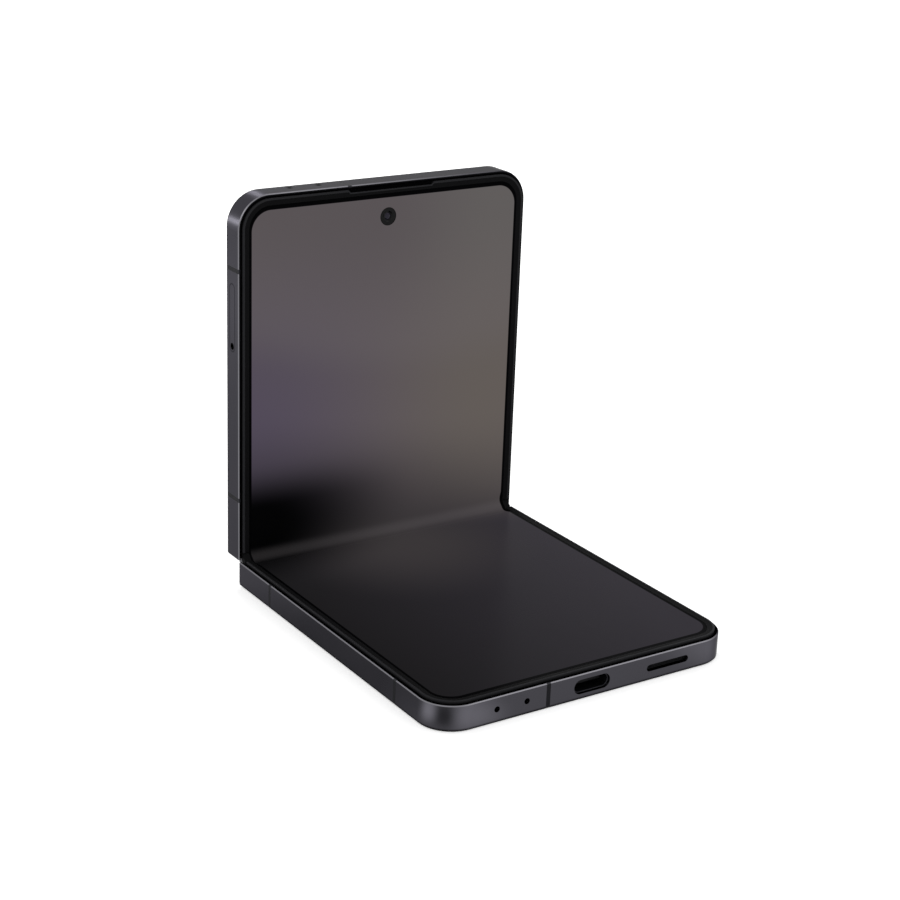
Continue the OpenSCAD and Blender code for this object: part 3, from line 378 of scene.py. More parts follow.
def anodised_metal(name, upright, to_row, cut_right, holes=(), seam=None):
    """Blasted and anodised rail with a bright front chamfer, and painted shade at its back edge and round its
    holes.
    """
    made = Finish(name, Metallic=1.0)
    grain = made.grain(RAIL, 0.3, scale=4200.0, tone=0.12, spread=0.08, bump=0.08, depth=FINE)
    foot = Vector(upright).dot(to_row.translation)
    height = made.minus(made.vector("DOT_PRODUCT", made.here, upright), foot)
    slopes = made.group(CUT_EDGE, Normal=made.place["Normal"], Upright=upright)
    # Painted shade: the back chamfer and the lip beside the groove are coloured dark
    edge, shade = slopes["Mask"], slopes["Shade"]
    # Painted shade: the rail darkens along its back edge
    low = made.spread(height, SHADE_FULL, SHADE_END, 0.9, 0.0)
    body = made.mix(made.math("MAXIMUM", shade, low), grain["Colour"], RAIL_PAINTED_SHADE)
    # Painted shade: a dark ring round each hole, wider than the hole
    for centre in holes:
        rim = made.group(WINDOW, Place=made.here, Centre=centre, Corner=HOLE_RIM)["Mask"]
        body = made.mix(rim, body, HOLE_PAINTED_SHADE)
    if seam:
        around, inside = [made.group(WINDOW, Place=made.here, Centre=seam, Straight=(0.0, 0.0, TRAY_RUN),
                                     Corner=radius)["Mask"] for radius in (SEAM_OUTER, SEAM_INNER)]
        body = made.mix(made.times(made.minus(around, inside), 0.6), body, SEAM)
    # Painted shade: the chamfer goes from CUT at the left to cut_right at the right
    shade_rightward = made.spread(made.parts(made.here)[0], FADE_FROM, FADE_TO, smooth=False)
    made.set(Base_Color=made.mix(edge, body, made.mix(shade_rightward, CUT, cut_right)))
    made.set(Specular_Tint=made.mix(made.plus(edge, shade, clamp=True), EDGE_TINT, DARK_TINT))
    rough = made.handled(grain["Roughness"], 70.0, 0.06)
    made.set(Roughness=made.between(edge, rough, 0.3))
    return made.material


def moulded_black(name, colour, roughness, scale=2600.0, gloss=0.1):
    made = Finish(name, Specular_IOR_Level=gloss)
    made.grain(colour, roughness, scale=scale, tone=0.25, spread=0.14, bump=0.15)
    return made.material


def band_plastic(name, upright):
    """Moulded with the rail and cut with it, so it shares the rail's chamfer."""
    made = Finish(name, Specular_IOR_Level=0.04)
    grain = made.grain(BAND, 0.45, scale=3600.0, tone=0.2, spread=0.12, bump=0.1, depth=FINE)
    edge = made.group(CUT_EDGE, Normal=made.place["Normal"], Upright=upright)["Mask"]
    made.set(Base_Color=made.mix(edge, grain["Colour"], BAND_CUT))
    return made.material


def soft_bezel(name, flat, ridge):
    """Matt rubbery frame round the display, smoother on its ridge and painted lighter there as a painted
    highlight; the piece marks the ridge in an attribute.
    """
    made = Finish(name, Specular_IOR_Level=0.013)
    grain = made.grain(flat, 0.5, tone=0.3, spread=0.12, bump=0.12, depth=FINE)
    mark = made.add("ShaderNodeAttribute", attribute_name="ridge").outputs["Fac"]
    # Painted highlight: the ridge is coloured lighter
    made.set(Base_Color=made.mix(mark, grain["Colour"], ridge))
    made.set(Roughness=made.between(mark, grain["Roughness"], 0.3))
    return made.material


def satin_glass(name, colour, window=None):
    """Dark backed glass with an etched, silky outside and faint smears; a window in it is black and clear."""
    made = Finish(name, Specular_IOR_Level=0.3, Coat_Weight=0.1, Coat_Roughness=0.3)
    grain = made.grain(colour, 0.34, scale=5200.0, tone=0.2, spread=0.06, bump=0.05, depth=FINE)
    rough = made.handled(grain["Roughness"], 55.0, 0.10)
    if window:
        flat = made.vector("MULTIPLY", made.here, (1.0, 0.0, 1.0))
        inside = made.group(WINDOW, Place=flat, **window)["Mask"]
        made.set(Base_Color=made.mix(inside, grain["Colour"], COVER_BLACK))
        rough = made.between(inside, rough, 0.12)
    made.set(Roughness=rough)
    return made.material


def stamped_steel(name, colour=(0.42, 0.42, 0.44, 1.0), roughness=0.3):
    made = Finish(name, Metallic=1.0)
    made.grain(colour, roughness, scale=1500.0, tone=0.12, spread=0.16, bump=0.08)
    return made.material


def brushed_metal(name, colour, roughness, along=(0.03, 1.0, 1.0)):
    """Fine lines, drawn out along x unless told otherwise."""
    made = Finish(name, Metallic=1.0)
    stretched = made.vector("MULTIPLY", made.here, along)
    grain = made.group(GRAIN, Place=stretched, Colour=colour, Scale=9000.0, Tone=0.25,
                       Roughness=roughness, Spread=0.12)
    made.set(Base_Color=grain["Colour"], Roughness=grain["Roughness"])
    made.set(Normal=made.bump(grain["Height"], 0.12, FINE))
    return made.material


def circuit_board(name):
    """Solder mask in a mesh of traces."""
    made = Finish(name)
    traces = made.add("ShaderNodeTexBrick", {
        "Vector": made.here, "Scale": 420.0, "Mortar Size": 0.06, "Color1": (0.008, 0.055, 0.028, 1.0),
        "Color2": (0.0064, 0.044, 0.0224, 1.0), "Mortar": (0.05, 0.16, 0.09, 1.0)}).outputs
    made.set(Base_Color=traces["Color"])
    made.set(Roughness=made.spread(made.noise(made.here, 900.0), 0.3, 0.7, 0.3, 0.45))
    made.set(Normal=made.bump(traces["Fac"], 0.2, 1.5 * COARSE))
    return made.material


def polished_lens(name, colour):
    """Dark coated glass, with a coat that varies in patches."""
    made = Finish(name, Roughness=0.06, Specular_IOR_Level=0.15, Coat_Weight=0.12, Coat_Roughness=0.03)
    tint = made.spread(made.noise(made.here, 240.0, detail=1.0), 0.35, 0.65)
    made.set(Base_Color=made.mix(tint, colour, LENS_COAT))
    return made.material


def frosted(name, colour):
    made = Finish(name)
    made.grain(colour, 0.35, scale=2400.0, bump=0.3, depth=2 * COARSE)
    return made.material


# The picture's colours, at its left and at its right, and the centres of its two spots
PALE = (rgb(86, 78, 93), rgb(103, 96, 92))
SKY = (rgb(93, 87, 89), rgb(101, 97, 96))
NIGHT = (rgb(28, 27, 28), rgb(53, 50, 56))
GLOW = rgb(63, 59, 60)
DARK_POOL = rgb(1, 1, 1)
RIBBON = rgb(112, 105, 108)
GLOW_AT = (0.52, 0.445, 0.0)
DARK_POOL_AT = (0.02, 0.545, 0.0)
FILM = rgb(4, 4, 5)
# Film colour along the fold: partly the crease's haze, partly a painted highlight for the fold's soft
# reflection
CREASE_HAZE_AND_SHEEN = rgb(42, 40, 41)


def wallpaper(name):
    """A generic picture: a pale field above, night below, a glow and a dark pool, and slow waves over all.

    The UV map is the unfolded display: u across, v from the lower end through the fold to the upper end.
    """
    made = Finish(name, Specular_IOR_Level=0.006, Emission_Strength=0.9)
    uv = made.place["UV"]
    across, along = made.parts(uv)[:2]
    wave = made.math("SINE", made.plus(made.times(across, 4.2), made.times(along, 7.0)))
    swell = made.math("SINE", made.minus(made.times(along, 11.0), made.times(across, 3.0)))
    bend = made.plus(made.times(wave, 0.02), made.times(swell, 0.012))
    level = made.plus(made.plus(along, made.times(across, 0.05)), bend)
    pale = made.mix(made.spread(across, 0.0, 0.9), *PALE)
    sky = made.mix(made.spread(across, 0.45, 0.9), *SKY)
    high = made.mix(made.spread(along, 0.68, 0.97), pale, sky)
    glow = made.spot(uv, GLOW_AT, 0.03, 0.46, 0.85, (1.0, 2.2, 1.0))
    low = made.mix(glow, made.mix(across, *NIGHT), GLOW)
    picture = made.mix(made.spread(level, 0.50, 0.71), low, high)
    pool = made.spot(uv, DARK_POOL_AT, 0.11, 0.63, 1.0, (1.0, 4.0, 1.0))
    pool = made.times(pool, made.spread(along, 0.57, 0.64, 1.0, 0.0))
    picture = made.mix(pool, picture, DARK_POOL)
    ribbon = made.times(made.spread(level, 0.76, 0.84), made.spread(level, 0.84, 1.0, 1.0, 0.0))
    picture = made.mix(made.times(ribbon, 0.25), picture, RIBBON)
    in_metres = made.vector("MULTIPLY", uv, (2 * HALF_WIDTH, 2 * HALF_LENGTH, 0.0))
    straight = (HALF_WIDTH - LIT_SIDE - LIT_CORNER, HALF_LENGTH - LIT_END - LIT_CORNER, 0.0)
    lit = made.group(WINDOW, Place=in_metres, Centre=(HALF_WIDTH, HALF_LENGTH, 0.0), Straight=straight,
                     Corner=LIT_CORNER)["Mask"]
    # A lighter band in the film along the fold: crease haze and a painted highlight
    from_fold = made.math("ABSOLUTE", made.minus(along, 0.5))
    crease = made.times(made.spread(from_fold, 0.0, 0.016, 1.0, 0.0), lit)
    film = made.grain(FILM, 0.26, scale=1800.0, tone=0.2, spread=0.05, bump=0.0)
    made.set(Roughness=made.handled(film["Roughness"], 38.0, 0.12))
    made.set(Base_Color=made.mix(crease, film["Colour"], CREASE_HAZE_AND_SHEEN))
    made.set(Emission_Color=made.mix(lit, BLACK, picture))
    return made.material


def in_upper(x, y, z):
    """A point of the upper half in the row frame, for a socket."""
    return tuple(TO_UPPER @ Vector((x, y, z)))


LOWER_UP = (0.0, 0.0, 1.0)
UPPER_UP = (0.0, -1.0, 0.0)
UPPER_HOLES = [in_upper(x, HALF_LENGTH, TOP_HOLE_Z) for x in TOP_HOLES_X]
UPPER_HOLES.append(in_upper(-HALF_WIDTH, PIN_HOLE_Y, PIN_HOLE_Z))
TRAY_SEAM = in_upper(-HALF_WIDTH, TRAY_Y, PIN_HOLE_Z)
COVER_WINDOW = {
    "Centre": (COVER_X, 0.0, in_upper(0.0, COVER_Y, 0.0)[2]), "Corner": COVER_CORNER,
    "Straight": (COVER_WIDTH / 2 - COVER_CORNER, 0.0, COVER_LENGTH / 2 - COVER_CORNER)}

LOWER_RAIL = anodised_metal("anodised rail, lower", LOWER_UP, TO_LOWER, CUT)
UPPER_RAIL = anodised_metal("anodised rail, upper", UPPER_UP, TO_UPPER, CUT_IN_PAINTED_SHADE, UPPER_HOLES, TRAY_SEAM)
LOWER_BAND = band_plastic("antenna band, lower", LOWER_UP)
UPPER_BAND = band_plastic("antenna band, upper", UPPER_UP)
# The bezel's second colour is a painted highlight on its ridge
BEZEL = soft_bezel("soft bezel", rgb(17, 17, 18), rgb(40, 40, 42))
GASKET = moulded_black("gasket", rgb(5, 5, 6), 0.7, gloss=0.0)
BACK_GLASS = satin_glass("satin back glass", rgb(38, 38, 42))
UPPER_GLASS = satin_glass("satin back glass with window", rgb(38, 38, 42), COVER_WINDOW)
PICTURE = wallpaper("lit display")
DARK_GLASS = satin_glass("cover display glass", rgb(12, 12, 14))
LENS = polished_lens("lens glass", (0.004, 0.005, 0.010, 1.0))
CAMERA_MASK = moulded_black("camera mask", rgb(9, 9, 10), 0.3)
BLACK_PLASTIC = moulded_black("black plastic", rgb(22, 22, 24), 0.55)
# Painted shade: the port's steel shell is given a dark colour for the shade inside the port
PORT_METAL_IN_SHADE = stamped_steel("port shell", rgb(46, 46, 50), 0.5)
GOLD = stamped_steel("gold contacts", (0.55, 0.38, 0.14, 1.0), 0.3)
STEEL = stamped_steel("stamped steel")
COVER_METAL = brushed_metal("spine cover", rgb(62, 62, 67), 0.27)
RING_METAL = brushed_metal("camera ring", rgb(105, 104, 110), 0.2, (1.0, 1.0, 1.0))
COPPER = stamped_steel("sintered copper", (0.5, 0.22, 0.09, 1.0), 0.34)
BOARD = circuit_board("solder mask")
CELL = moulded_black("cell wrap", rgb(52, 52, 55), 0.4, scale=700.0, gloss=0.3)
CABLE = moulded_black("cable film", rgb(150, 96, 40), 0.35, scale=1500.0, gloss=0.4)
FLASH = frosted("flash window", rgb(226, 214, 170))

# Nodes that aren't named here are steel
NODES_OF_FINISH = (
    (LOWER_RAIL, "lower_frame"), (UPPER_RAIL, "upper_frame sim_tray power_key volume_rocker"),
    (LOWER_BAND, "lower_antenna_bands"), (UPPER_BAND, "upper_antenna_bands"),
    (BEZEL, "lower_bezel upper_bezel fold_caps"), (BACK_GLASS, "lower_back_glass"),
    (UPPER_GLASS, "upper_back_glass"), (DARK_GLASS, "cover_display"), (RING_METAL, "camera_rings"),
    (LENS, "camera_lenses"), (CAMERA_MASK, "front_camera"), (FLASH, "flash"), (COVER_METAL, "hinge_cover"),
    (BLACK_PLASTIC, "camera_modules loudspeaker ferrite_sheet earpiece speaker_mesh"),
    (GASKET, "microphones"), (BOARD, "sub_board main_board"), (CELL, "lower_battery upper_battery"),
    (COPPER, "charging_coil lower_idlers upper_idlers"), (CABLE, "hinge_flex"))
NODE_FINISH = {node: finish for finish, names in NODES_OF_FINISH for node in names.split()}
for name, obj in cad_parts.items():
    obj.data.materials.clear()
    obj.data.materials.append(NODE_FINISH.get(name, STEEL))


# -------- mesh helpers


def link(name, data):
    """A new object in the scene, at the origin."""
    made = bpy.data.objects.new(name, data)
    bpy.context.collection.objects.link(made)
    return made


def clean(mesh, soft=0.0):
    """Merges points that lie together, bevels all edges if soft, and turns the normals outward."""
    work = bmesh.new()
    work.from_mesh(mesh)
    bmesh.ops.remove_doubles(work, verts=work.verts, dist=SAME_POINT)
    if soft:
        bmesh.ops.bevel(work, geom=work.edges[:], offset=soft, segments=3, profile=0.5, affect="EDGES")
    bmesh.ops.recalc_face_normals(work, faces=work.faces)
    work.to_mesh(mesh)
    work.free()


def shade(mesh, sharp):
    """Smooth shading, with edges from this angle in degrees left sharp."""
    mesh.shade_smooth()
    mesh.set_sharp_from_angle(angle=math.radians(sharp))


def new_piece(name, verts, faces, material, sharp=None, uvs=None):
    """An object from points and faces, flat or smooth up to an angle; uvs holds one pair for each point."""
    mesh = bpy.data.meshes.new(name)
    mesh.from_pydata([tuple(v) for v in verts], [], faces)
    mesh.validate()
    if uvs:
        layer = mesh.uv_layers.new(name="unfolded")
        for loop in mesh.loops:
            layer.data[loop.index].uv = uvs[loop.vertex_index]
    clean(mesh)
    mesh.materials.append(material)
    if sharp is not None:
        shade(mesh, sharp)
    return link(name, mesh)


def as_mesh(obj, modifier):
    """The object's mesh as its modifier makes it; the modifier is removed."""
    bpy.context.view_layer.update()
    mesh = bpy.data.meshes.new_from_object(obj.evaluated_get(bpy.context.evaluated_depsgraph_get()))
    obj.modifiers.remove(modifier)
    return mesh


def skin(name, rings, material, sharp=35):
    """A closed surface through rings of as many points each, capped at both ends."""
    count = len(rings[0])
    verts = [point for ring in rings for point in ring]
    faces = [tuple(range(count)), tuple(range(len(verts) - 1, len(verts) - count - 1, -1))]
    for k in range(len(rings) - 1):
        for i in range(count):
            j = (i + 1) % count
            faces.append((k * count + i, (k + 1) * count + i, (k + 1) * count + j, k * count + j))
    return new_piece(name, verts, faces, material, sharp)


def at_height(to_row, plan, height):
    """A plan of a half, set at a height."""
    return [to_row @ Vector((x, y, height)) for x, y in plan]


def circle(centre, radius, steps=64):
    """A round plan, as points."""
    turns = np.linspace(0, 2 * math.pi, steps + 1)[:-1]
    return [(centre[0] + radius * math.cos(a), centre[1] + radius * math.sin(a)) for a in turns]


def prism(name, plan, low, high, to_row, material):
    """An upright prism over a plan, in the frame of a half."""
    return skin(name, [at_height(to_row, plan, low), at_height(to_row, plan, high)], material, None)


def stadium_ring(to_row, x, y, z, width, height):
    """A stadium in x and z at a distance from the fold."""
    run, radius = (width - height) / 2, height / 2
    ring = []
    for side in (1, -1):
        for a in np.linspace(-math.pi / 2, math.pi / 2, 14):
            at = (x + side * (run + radius * math.cos(a)), y, z + side * radius * math.sin(a))
            ring.append(to_row @ Vector(at))
    return ring


def lathe(name, centre, profile, material, steps=64):
    """A turned piece of the upper half: radius and height along an upright axis."""
    rings = [at_height(TO_UPPER, circle(centre, radius, steps), height) for radius, height in profile]
    return skin(name, rings, material, 28)


def dome(radius, base, rise):
    """Profile of a shallow dome, from its rim to its middle; a rise below 0 turns it over."""
    turns = np.linspace(0, math.pi / 2, 8)[:-1]
    return [(radius * math.cos(a), base + rise * math.sin(a)) for a in turns] + [(radius * 0.02, base + rise)]


def cut_with(obj, cutter):
    """Takes one piece out of another and deletes it."""
    made = obj.modifiers.new("cut", "BOOLEAN")
    made.operation = "DIFFERENCE"
    made.object = cutter
    made.solver = "EXACT"
    obj.data = as_mesh(obj, made)
    bpy.data.objects.remove(cutter)


def finish_piece(obj, body, slot, *nodes):
    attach(obj, body)
    if nodes:
        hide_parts(*nodes)


# -------- display across the fold

BEND_FROM = -2.25 * MM
BEND_TO = AXIS
ROUNDS = 60
BEND_END = 4 * MM
FLAT_START = 6 * MM


def folded(u, height):
    """Where a point of the unfolded display lies at rest, in its half: distance from the fold, and height.
    """
    across = np.array([-math.sqrt(0.5), math.sqrt(0.5)])
    flat = np.array([u - AXIS, height])
    share = 0.0
    for _ in range(ROUNDS):
        angle = -HALF_TURN * share
        turned = np.array([flat[0] * math.cos(angle) - flat[1] * math.sin(angle),
                           flat[0] * math.sin(angle) + flat[1] * math.cos(angle)])
        t = min(max((turned @ across - BEND_FROM) / (BEND_TO - BEND_FROM), 0.0), 1.0)
        share += 0.5 * (t * t * (3 - 2 * t) - share)
    return turned + np.array([AXIS, RIM])


def half_width_at(u):
    """Half the display's width at a distance from the fold, with its rounded outer corners."""
    radius = CORNER - SCREEN_INSET
    beyond = max(u - (HALF_LENGTH - CORNER), 0.0)
    return HALF_WIDTH - CORNER + math.sqrt(max(radius * radius - beyond * beyond, 0.0))


def display_rows():
    """Distances from the fold: close together in the bend and round the outer corners."""
    straight_end = HALF_LENGTH - CORNER
    turns = np.linspace(0, math.pi / 2, 17)[1:]
    corner = [straight_end + (CORNER - SCREEN_INSET) * math.sin(a) for a in turns]
    return list(np.linspace(0.0, BEND_END, 33)) + list(np.linspace(FLAT_START, straight_end, 12)) + corner


def display_half(name, to_row, side):
    """One half of the display as a thin closed sheet; side is -1 below the fold and 1 above it."""
    rows = display_rows()
    columns = np.linspace(-1, 1, 9)
    verts, uvs = [], []
    for height in (SCREEN_TOP, SCREEN_TOP - SHEET):
        for u in rows:
            y, z = folded(u, height)
            for column in columns:
                verts.append(to_row @ Vector((column * half_width_at(u), y, z)))
                uvs.append((0.5 + verts[-1].x / (2 * HALF_WIDTH), 0.5 + side * u / (2 * HALF_LENGTH)))
    wide, deep = len(columns), len(rows)
    under = wide * deep
    faces = []
    for j in range(deep - 1):
        for i in range(wide - 1):
            a = j * wide + i
            faces.append((a, a + 1, a + wide + 1, a + wide))
            faces.append((under + a, under + a + wide, under + a + wide + 1, under + a + 1))
        for a in (j * wide, j * wide + wide - 1):
            faces.append((a, a + wide, under + a + wide, under + a))
    for j in (0, deep - 1):
        for a in range(j * wide, j * wide + wide - 1):
            faces.append((a, a + 1, under + a + 1, under + a))
    return new_piece(name, verts, faces, PICTURE, 40, uvs)


def row_point(s, n):
    """A point of the spine's own frame in the row frame."""
    return tuple(TO_SPINE @ Vector((0, s, n)))


eye = (0.0, FRONT_CAMERA_Y)
for body, to_row, side in HALVES:
    screen = display_half(f"display_{body}", to_row, side)
    if body == "upper":
        cut_with(screen, prism("eye_hole", circle(eye, FRONT_CAMERA_R), RIM - MM, RIM + 2 * MM, to_row,
                               PICTURE))
    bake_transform(screen)
    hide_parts(f"{body}_display")
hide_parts("fold_display")


# -------- pieces grown by Geometry Nodes


def geometry_tree(name, fill, sizes, **others):
    """A Geometry Nodes tree with named sizes; fill returns its geometry, which gets its material here."""
    tree = bpy.data.node_groups.new(name, "GeometryNodeTree")
    add_sockets(tree, "INPUT", {"Geometry": "Geometry", **dict.fromkeys(sizes, "Float"), **others,
                                "Material": "Material"})
    add_sockets(tree, "OUTPUT", {"Geometry": "Geometry"})
    nodes = Nodes(tree)
    given = nodes.add("NodeGroupInput").outputs
    real = nodes.geo("RealizeInstances", {"Geometry": fill(nodes, given)})
    coated = nodes.geo("SetMaterial", {"Geometry": real, "Material": given["Material"]})
    nodes.feed(nodes.add("NodeGroupOutput").inputs[0], coated)
    return tree


def grow(name, tree, to_row, material, **sizes):
    """Runs a tree with its sizes and keeps the result as a plain mesh in its place."""
    made = link(name, bpy.data.meshes.new(name))
    modifier = made.modifiers.new("grow", "NODES")
    modifier.node_group = tree
    sizes["Material"] = material
    for item in tree.interface.items_tree:
        given = item.name.replace(" ", "_")
        if item.in_out == "INPUT" and given in sizes:
            modifier[item.identifier] = sizes[given]
    made.data = as_mesh(made, modifier)
    made.data.name = name
    made.data.transform(to_row)
    clean(made.data)
    shade(made.data, 35)
    return made


def outline(name, points, closed=True):
    """A polyline that a tree reads as its section or its route; it is removed once the pieces are grown."""
    curve = bpy.data.curves.new(name, "CURVE")
    curve.dimensions = "3D"
    spline = curve.splines.new("POLY")
    spline.points.add(len(points) - 1)
    for point, place in zip(spline.points, points):
        point.co = (*place, 0.0, 1.0) if len(place) == 2 else (*place, 1.0)
    spline.use_cyclic_u = closed
    return link(name, curve)


def section_of(nodes, given):
    return nodes.add("GeometryNodeObjectInfo", {"Object": given["Section"]}).outputs["Geometry"]


def fill_swept_rim(nodes, given):
    """A section swept up one side of a half, round its outer corners and down the other side."""
    line = nodes.geo("CurvePrimitiveLine")
    points = nodes.geo("ResampleCurve", {"Curve": line, "Count": 4}, mode="COUNT")
    from_middle = nodes.minus(nodes.geo("InputIndex"), 1.5)
    outer = nodes.math("LESS_THAN", nodes.math("ABSOLUTE", from_middle), 1.0)
    reach = nodes.times(outer, nodes.minus(given["Half Length"], given["Start"]))
    place = nodes.xyz(X=nodes.times(nodes.math("SIGN", from_middle), given["Half Width"]),
                      Y=nodes.plus(given["Start"], reach))
    route = nodes.geo("SetPosition", {"Geometry": points, "Position": place})
    rounded = nodes.geo("FilletCurve", {
        "Curve": route, "Count": 14, "Radius": given["Corner Radius"], "Limit Radius": True}, mode="POLY")
    upright = nodes.geo("SetCurveNormal", {"Curve": rounded}, mode="Z_UP")
    upside = nodes.geo("Transform", {"Geometry": section_of(nodes, given), "Scale": (1.0, -1.0, 1.0)})
    soft = nodes.geo("FilletCurve", {
        "Curve": upside, "Count": 3, "Radius": given["Softness"], "Limit Radius": True}, mode="POLY")
    return nodes.swept(upright, soft)


def half_chord(nodes, at, half_run, radius):
    """Half the length of a stadium at a distance from its middle, measured across that distance."""
    beyond = nodes.math("MAXIMUM", nodes.minus(nodes.math("ABSOLUTE", at), half_run), 0.0)
    left = nodes.minus(nodes.times(radius, radius), nodes.times(beyond, beyond))
    return nodes.math("SQRT", nodes.math("MAXIMUM", left, 0.0))


def fill_wire_cloth(nodes, given):
    """Two layers of wires that fill a stadium, in x and z, one layer just behind the other."""
    half_run = nodes.times(nodes.minus(given["Length"], given["Height"]), 0.5)
    radius = nodes.times(given["Height"], 0.5)
    join = nodes.add("GeometryNodeJoinGeometry")
    for axis, span, diameters in (("X", given["Length"], 0.0), ("Z", given["Height"], 1.0)):
        count = nodes.math("FLOOR", nodes.math("DIVIDE", span, given["Pitch"]))
        row = nodes.row(axis, count, given["Pitch"], Y=nodes.times(given["Wire Radius"], 2.0 * diameters))
        at = nodes.parts(nodes.geo("InputPosition"))
        if axis == "X":
            end = (0, 0, 1)
            long = nodes.xyz(X=1.0, Y=1.0, Z=half_chord(nodes, at["X"], half_run, radius))
        else:
            end = (1, 0, 0)
            long = nodes.xyz(X=nodes.plus(half_run, half_chord(nodes, at["Z"], 0.0, radius)), Y=1.0, Z=1.0)
        rod = nodes.geo("CurvePrimitiveLine", {"Start": tuple(-v for v in end), "End": end})
        ring = nodes.geo("CurvePrimitiveCircle", {"Resolution": 6, "Radius": given["Wire Radius"]})
        nodes.feed(join.inputs[0], nodes.geo("InstanceOnPoints", {
            "Points": row, "Instance": nodes.swept(rod, ring), "Scale": long}))
    return join.outputs[0]


def fill_contact_rows(nodes, given):
    """Contacts side by side along x, a row on either face of a tongue."""
    join = nodes.add("GeometryNodeJoinGeometry")
    for face in (1.0, -1.0):
        row = nodes.row("X", given["Count"], given["Pitch"], Z=nodes.times(given["Half Thickness"], face))
        size = nodes.xyz(X=nodes.times(given["Pitch"], 0.55), Y=given["Length"], Z=given["Rise"])
        nodes.feed(join.inputs[0], nodes.geo("InstanceOnPoints", {
            "Points": row, "Instance": nodes.geo("MeshCube", {"Size": size})}))
    return join.outputs[0]


def fill_flat_winding(nodes, given):
    """One wire wound flat from the inside out."""
    spiral = nodes.geo("CurveSpiral", {
        "Resolution": 48, "Rotations": given["Turns"], "Start Radius": given["Inner Radius"],
        "End Radius": given["Outer Radius"], "Height": 0.0})
    upright = nodes.geo("SetCurveNormal", {"Curve": spiral}, mode="Z_UP")
    return nodes.swept(upright, nodes.geo("CurvePrimitiveQuadrilateral", {
        "Width": given["Strand Width"], "Height": given["Strand Height"]}))


def fill_ribbon(nodes, given):
    """A flat cable that follows a route in one plane, upright to x."""
    smooth = nodes.geo("CurveSplineType", {"Curve": section_of(nodes, given)}, spline_type="CATMULL_ROM")
    fine = nodes.geo("ResampleCurve", {"Curve": smooth, "Count": 60}, mode="COUNT")
    held = nodes.geo("SetCurveNormal", {"Curve": fine}, mode="MINIMUM_TWIST")
    return nodes.swept(held, nodes.geo("CurvePrimitiveQuadrilateral", {
        "Width": given["Width"], "Height": given["Thickness"]}))


SWEPT_RIM = geometry_tree(
    "swept rim", fill_swept_rim, ("Half Width", "Half Length", "Corner Radius", "Start", "Softness"),
    Section="Object")
WIRE_CLOTH = geometry_tree("wire cloth", fill_wire_cloth, ("Length", "Height", "Pitch", "Wire Radius"))
CONTACT_ROWS = geometry_tree(
    "contact rows", fill_contact_rows, ("Pitch", "Length", "Rise", "Half Thickness"), Count="Int")
FLAT_WINDING = geometry_tree(
    "flat winding", fill_flat_winding,
    ("Turns", "Inner Radius", "Outer Radius", "Strand Width", "Strand Height"))
RIBBON_CABLE = geometry_tree("ribbon cable", fill_ribbon, ("Width", "Thickness"), Section="Object")


# -------- bezels and their gaskets

RIDGE_SLOPE = 0.1 * MM
BEZEL_DROP = 0.05 * MM
BEZEL_SOFTNESS = 0.07 * MM
GASKET_SOFTNESS = 0.03 * MM
GASKET_OUTER = 0.3 * MM
GASKET_INNER = 0.22 * MM
EAR_FLOOR = 0.1 * MM
EAR_LIP = 0.3 * MM
EAR_LIP_SUNK = 0.1 * MM
JUST_UNDER = 0.02 * MM
FLAT_HIGH = BEZEL_HIGH - RIDGE_STEP

bezel_section = outline("bezel section", [
    (BEZEL_OUT, RIM + BEZEL_LOW), (BEZEL_IN, RIM + BEZEL_LOW), (BEZEL_IN, RIM + FLAT_HIGH - BEZEL_DROP),
    (BEZEL_OUT + RIDGE + RIDGE_SLOPE, RIM + FLAT_HIGH), (BEZEL_OUT + RIDGE, RIM + BEZEL_HIGH),
    (BEZEL_OUT, RIM + BEZEL_HIGH)])
gasket_section = outline("gasket section", [
    (RIM_LIP, RIM - GROOVE_DEPTH), (BEZEL_OUT, RIM - GROOVE_DEPTH), (BEZEL_OUT, RIM - GASKET_INNER),
    (RIM_LIP, RIM - GASKET_OUTER)])


def mark_ridge(obj, to_row):
    """Marks, in an attribute, how far each point stands above the flat of the bezel."""
    to_half = to_row.inverted()
    mark = obj.data.attributes.new("ridge", "FLOAT", "POINT")
    for point in obj.data.vertices:
        above = (to_half @ point.co).z - RIM - FLAT_HIGH
        mark.data[point.index].value = min(max(above / (0.6 * RIDGE_STEP), 0.0), 1.0)


def ear_corners(outer, inner, wider):
    """The recess narrows inward at 45 degrees; its outer and inner side are distances from the end."""
    half = EAR_LENGTH / 2 + wider
    return [(EAR_X - half + outer, HALF_LENGTH - outer), (EAR_X - half + inner, HALF_LENGTH - inner),
            (EAR_X + half - inner, HALF_LENGTH - inner), (EAR_X + half - outer, HALF_LENGTH - outer)]


def swept_rim(name, to_row, material, softness, section):
    return grow(name, SWEPT_RIM, to_row, material, Half_Width=HALF_WIDTH, Half_Length=HALF_LENGTH,
                Corner_Radius=CORNER, Start=BEZEL_START, Softness=softness, Section=section)


